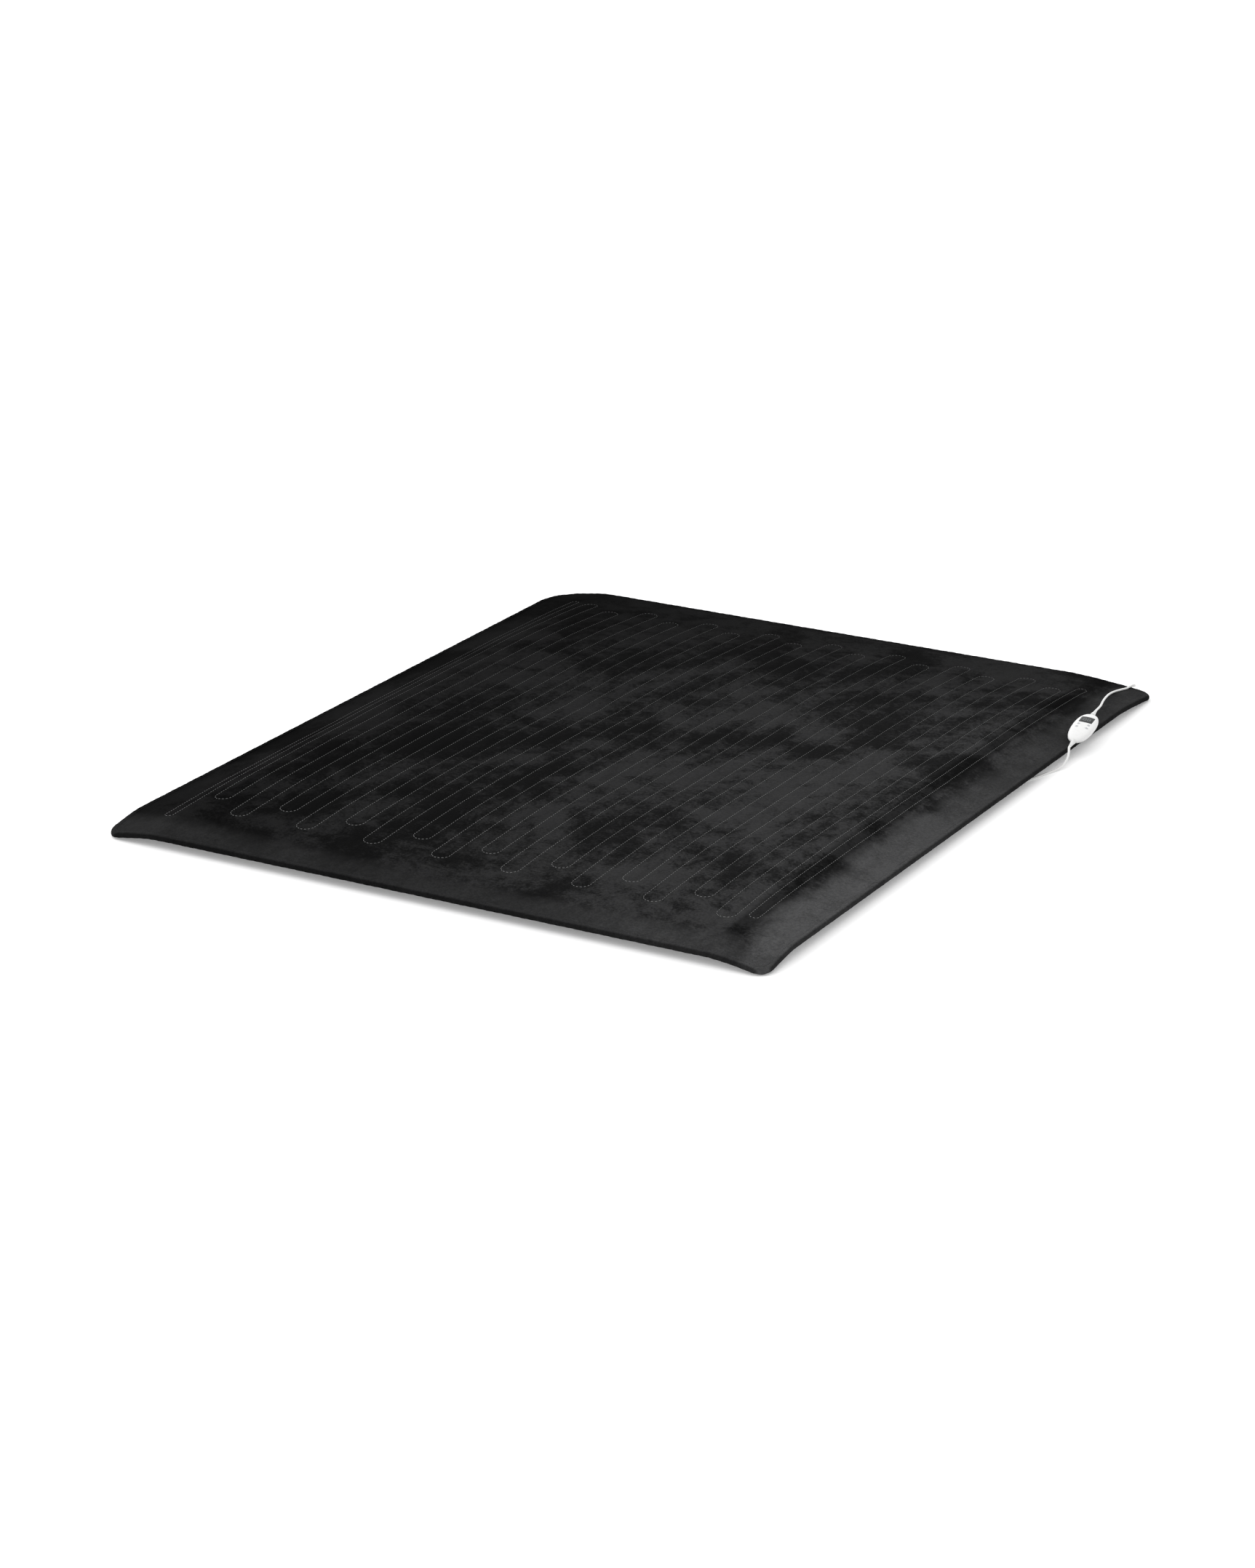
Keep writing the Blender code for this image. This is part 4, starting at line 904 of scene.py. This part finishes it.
def outline_share(x, y):
    width = CASE_HALF_WIDTH * (1 + CASE_TAPER * y / CASE_HALF_LENGTH)
    return (abs(x / width) ** OUTLINE_POWER + abs(y / CASE_HALF_LENGTH) ** OUTLINE_POWER) ** (1 / OUTLINE_POWER)


def dome(x, y, height):
    return height * max(0.0, 1 - outline_share(x, y) ** DOME_POWER) ** (1 / CREST_POWER)


def dome_surface(bm, inset, height, side, sides, rings):
    """Adds a dome over the controller's outline less an inset, and returns the ring of points on its rim."""
    loops = []
    for step in range(rings):
        lift = math.pi / 2 * step / rings
        share = math.cos(lift) ** (2 / DOME_POWER)
        up = (height - inset) * math.sin(lift) ** (2 / CREST_POWER) + GAP / 2
        loop = []
        for turn in range(sides):
            angle = 2 * math.pi * turn / sides
            along = share * signed_power(math.sin(angle), 2 / OUTLINE_POWER)
            across = share * signed_power(math.cos(angle), 2 / OUTLINE_POWER) * (1 + CASE_TAPER * along)
            loop.append(bm.verts.new((across * (CASE_HALF_WIDTH - inset), along * (CASE_HALF_LENGTH - inset),
                                      side * up)))
        loops.append(loop)
    crest = bm.verts.new((0.0, 0.0, side * (height - inset + GAP / 2)))
    for loop, following in zip(loops, loops[1:]):
        for k in range(sides):
            bm.faces.new((loop[k - 1], loop[k], following[k], following[k - 1]))
    for k in range(sides):
        bm.faces.new((loops[-1][k - 1], loops[-1][k], crest))
    return loops[0]


def case_half(name, height, side, node):
    sides, rings = 112, 26
    bm = bmesh.new()
    outer = dome_surface(bm, 0.0, height, side, sides, rings)
    inner = dome_surface(bm, CASE_WALL, height, side, sides, rings)
    for k in range(sides):
        bm.faces.new((outer[k - 1], outer[k], inner[k], inner[k - 1]))
    half = dress(from_bmesh(name, bm, 30), "white_plastic")
    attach(half, BODY)
    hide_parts(node)
    return half


def rounded_block(width, length, low, high, radius, middle):
    """A block along Z with rounded corners in plan."""
    bm = bmesh.new()
    places = []
    for sx, sy, start in ((1, 1, 0), (-1, 1, 90), (-1, -1, 180), (1, -1, 270)):
        for step in range(7):
            angle = math.radians(start + 90 * step / 6)
            places.append((middle[0] + sx * (width / 2 - radius) + radius * math.cos(angle),
                           middle[1] + sy * (length / 2 - radius) + radius * math.sin(angle)))
    rings = [[bm.verts.new((x, y, z)) for x, y in places] for z in (low, high)]
    for k in range(len(places)):
        bm.faces.new((rings[0][k - 1], rings[0][k], rings[1][k], rings[1][k - 1]))
    bm.faces.new(rings[0])
    bm.faces.new(rings[1])
    bmesh.ops.recalc_face_normals(bm, faces=bm.faces)
    return bm


def cut(obj, bm):
    """Takes a closed shape away from a piece."""
    bmesh.ops.recalc_face_normals(bm, faces=bm.faces)
    mesh = bpy.data.meshes.new("cutter")
    bm.to_mesh(mesh)
    bm.free()
    other = add_object("cutter", mesh)
    modifier = obj.modifiers.new("cut", "BOOLEAN")
    modifier.operation = "DIFFERENCE"
    modifier.solver = "EXACT"
    modifier.object = other
    applied(obj)
    bpy.data.objects.remove(other, do_unlink=True)
    bpy.data.meshes.remove(mesh)


def round_cutter(radius, low, high, place=(0.0, 0.0), turn=None):
    bm = bmesh.new()
    bmesh.ops.create_cone(bm, cap_ends=True, segments=40, radius1=radius, radius2=radius, depth=high - low)
    bmesh.ops.translate(bm, vec=(place[0], place[1], (low + high) / 2), verts=bm.verts)
    if turn:
        bmesh.ops.transform(bm, matrix=turn, verts=bm.verts)
    return bm


KEYS = {
    "heat_up": (-BUTTON_X, BUTTON_Y[0]),
    "heat_down": (-BUTTON_X, BUTTON_Y[1]),
    "timer_up": (BUTTON_X, BUTTON_Y[0]),
    "timer_down": (BUTTON_X, BUTTON_Y[1]),
}


def make_boot(name, side, node):
    """The tapered sleeve on the cord: a collar, then ribs that get smaller towards the tip."""
    collar = CASE_HALF_LENGTH + RELIEF_OUTSIDE
    tip = collar + RELIEF_LENGTH
    profile = [(RELIEF_NECK, CASE_HALF_LENGTH - 0.0130), (RELIEF_NECK, collar), (RELIEF_BASE - 0.0004, collar),
               (RELIEF_BASE, collar + 0.0004), (RELIEF_BASE - 0.0001, collar + 0.0026)]
    ribs = 5
    for rib in range(ribs):
        start = collar + 0.0034 + rib * 0.0031
        wide = RELIEF_BASE - 0.0006 - 0.00036 * rib
        profile += [(wide - 0.0007, start - 0.0004), (wide, start), (wide - 0.0001, start + 0.0018),
                    (wide - 0.0009, start + 0.0022)]
    profile += [(LEAD / 2 + 0.0008, tip - 0.0006), (LEAD / 2 + 0.0004, tip)]
    turn = CONTROLLER @ Matrix.Rotation(-side * math.pi / 2, 4, "X")
    boot = dress(lathe(name, profile, 40, turn), "white_plastic")
    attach(boot, BODY)
    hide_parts(node)


def make_marks():
    """A raised sign on each key, riding on the key: a cross on the upper ones and a bar on the lower ones."""
    for key, (x, y) in KEYS.items():
        crest = dome(x, y, CASE_TOP) + BUTTON_PROUD
        bm = bmesh.new()
        bars = [(0.0021, 0.00042)]
        if key.endswith("up"):
            bars.append((0.00042, 0.0021))
        for width, length in bars:
            made = bmesh.ops.create_cube(bm, size=1.0)["verts"]
            bmesh.ops.scale(bm, vec=(width, length, 0.00016), verts=made)
            bmesh.ops.translate(bm, vec=(x, y, crest + 0.00002), verts=made)
        bmesh.ops.transform(bm, matrix=CONTROLLER, verts=bm.verts)
        mark = dress(from_bmesh(f"{key}_sign", bm), "black_plastic")
        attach(mark, f"{key}_key")


def make_window(top):
    """The display's lens, domed with the case, and the dim segments under it."""
    cut(top, rounded_block(WINDOW_WIDTH + 2 * GAP, WINDOW_LENGTH + 2 * GAP, 0.0015, 2 * CASE_TOP, 0.0022,
                           (0.0, WINDOW_MIDDLE)))
    steps = 28
    radius = 0.0020
    half_x, half_y = WINDOW_WIDTH / 2, WINDOW_LENGTH / 2
    x, y = np.meshgrid(np.linspace(-half_x, half_x, steps + 1), np.linspace(-half_y, half_y, steps + 1))
    x, y = rounded(x, y, half_x, half_y, radius)
    points, faces = [], []
    for drop in (0.00015, 0.0014):
        for px, py in zip(x.ravel(), y.ravel()):
            edge = min(half_x - abs(px), half_y - abs(py))
            soft = 0.0003 * max(0.0, 1 - edge / 0.0006) ** 2 if drop < 0.001 else 0.0
            height = dome(px, py + WINDOW_MIDDLE, CASE_TOP) - drop - soft
            points.append(CONTROLLER @ Vector((px, py + WINDOW_MIDDLE, height)))
    across = steps + 1
    size = across * across
    for row in range(steps):
        for column in range(steps):
            a = row * across + column
            faces.append((a, a + 1, a + across + 1, a + across))
            faces.append((size + a, size + a + across, size + a + across + 1, size + a + 1))
    border = [*range(steps), *range(steps, size - 1, across), *range(size - 1, size - across, -1),
              *range(size - across, 0, -across)]
    for first, second in zip(border, border[1:] + border[:1]):
        faces.append((first, size + first, size + second, second))
    lens = dress(mesh_object("display_window", points, faces, 50), "smoked_lens")
    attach(lens, BODY)
    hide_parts("display_lens")

    bm = bmesh.new()
    digit_width, digit_height, bar = 0.0052, 0.0096, 0.0009
    for digit in (-0.0040, 0.0040):
        pieces = [(0, digit_height / 2, digit_width - bar, bar), (0, 0, digit_width - bar, bar),
                  (0, -digit_height / 2, digit_width - bar, bar)]
        pieces += [(sx * digit_width / 2, sy * digit_height / 4, bar, digit_height / 2 - bar)
                   for sx in (-1, 1) for sy in (-1, 1)]
        for px, py, width, length in pieces:
            made = bmesh.ops.create_cube(bm, size=1.0)["verts"]
            cx, cy = digit + px, WINDOW_MIDDLE + py
            bmesh.ops.scale(bm, vec=(width, length, 0.00012), verts=made)
            bmesh.ops.translate(bm, vec=(cx, cy, dome(cx, cy, CASE_TOP) - 0.00012), verts=made)
    bmesh.ops.transform(bm, matrix=CONTROLLER, verts=bm.verts)
    segments = dress(from_bmesh("display_digits", bm), "segments")
    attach(segments, BODY)


def make_controller():
    top = case_half("controller_upper_shell", CASE_TOP, 1, "controller_top_case")
    bottom = case_half("controller_lower_shell", CASE_BOTTOM, -1, "controller_bottom_case")
    for side in (-1, 1):
        turn = Matrix.Translation((0, side * CASE_HALF_LENGTH, 0)) @ Matrix.Rotation(math.pi / 2, 4, "X")
        for half in (top, bottom):
            cut(half, round_cutter(RELIEF_NECK + GAP, -0.0130, 0.0130, turn=turn))
    for x, y in KEYS.values():
        cut(top, round_cutter(BUTTON_RADIUS + GAP, 0.001, 2 * CASE_TOP, (x, y)))
    for sx in (-1, 1):
        for sy in (-1, 1):
            cut(bottom, round_cutter(0.0022, -2 * CASE_BOTTOM, -0.0040, (sx * 0.0090, sy * 0.0465)))
    make_window(top)
    for half in (top, bottom):
        half.data.transform(CONTROLLER)
        half.data.shade_smooth()
        half.data.set_sharp_from_angle(angle=math.radians(30))
    make_boot("lead_boot", 1, "lead_strain_relief")
    make_boot("mains_boot", -1, "mains_strain_relief")
    make_marks()


def dress_nodes():
    """Gives each CAD node that stays the finish of its slot."""
    for name, node in NODES.items():
        look = LOOK.get(RECORD.get(name))
        if not look or node.type != "MESH":
            continue
        for slot in node.material_slots:
            slot.material = look


make_camera()
make_lead()
make_mains()
make_studio()
make_blanket()
make_controller()
dress_nodes()
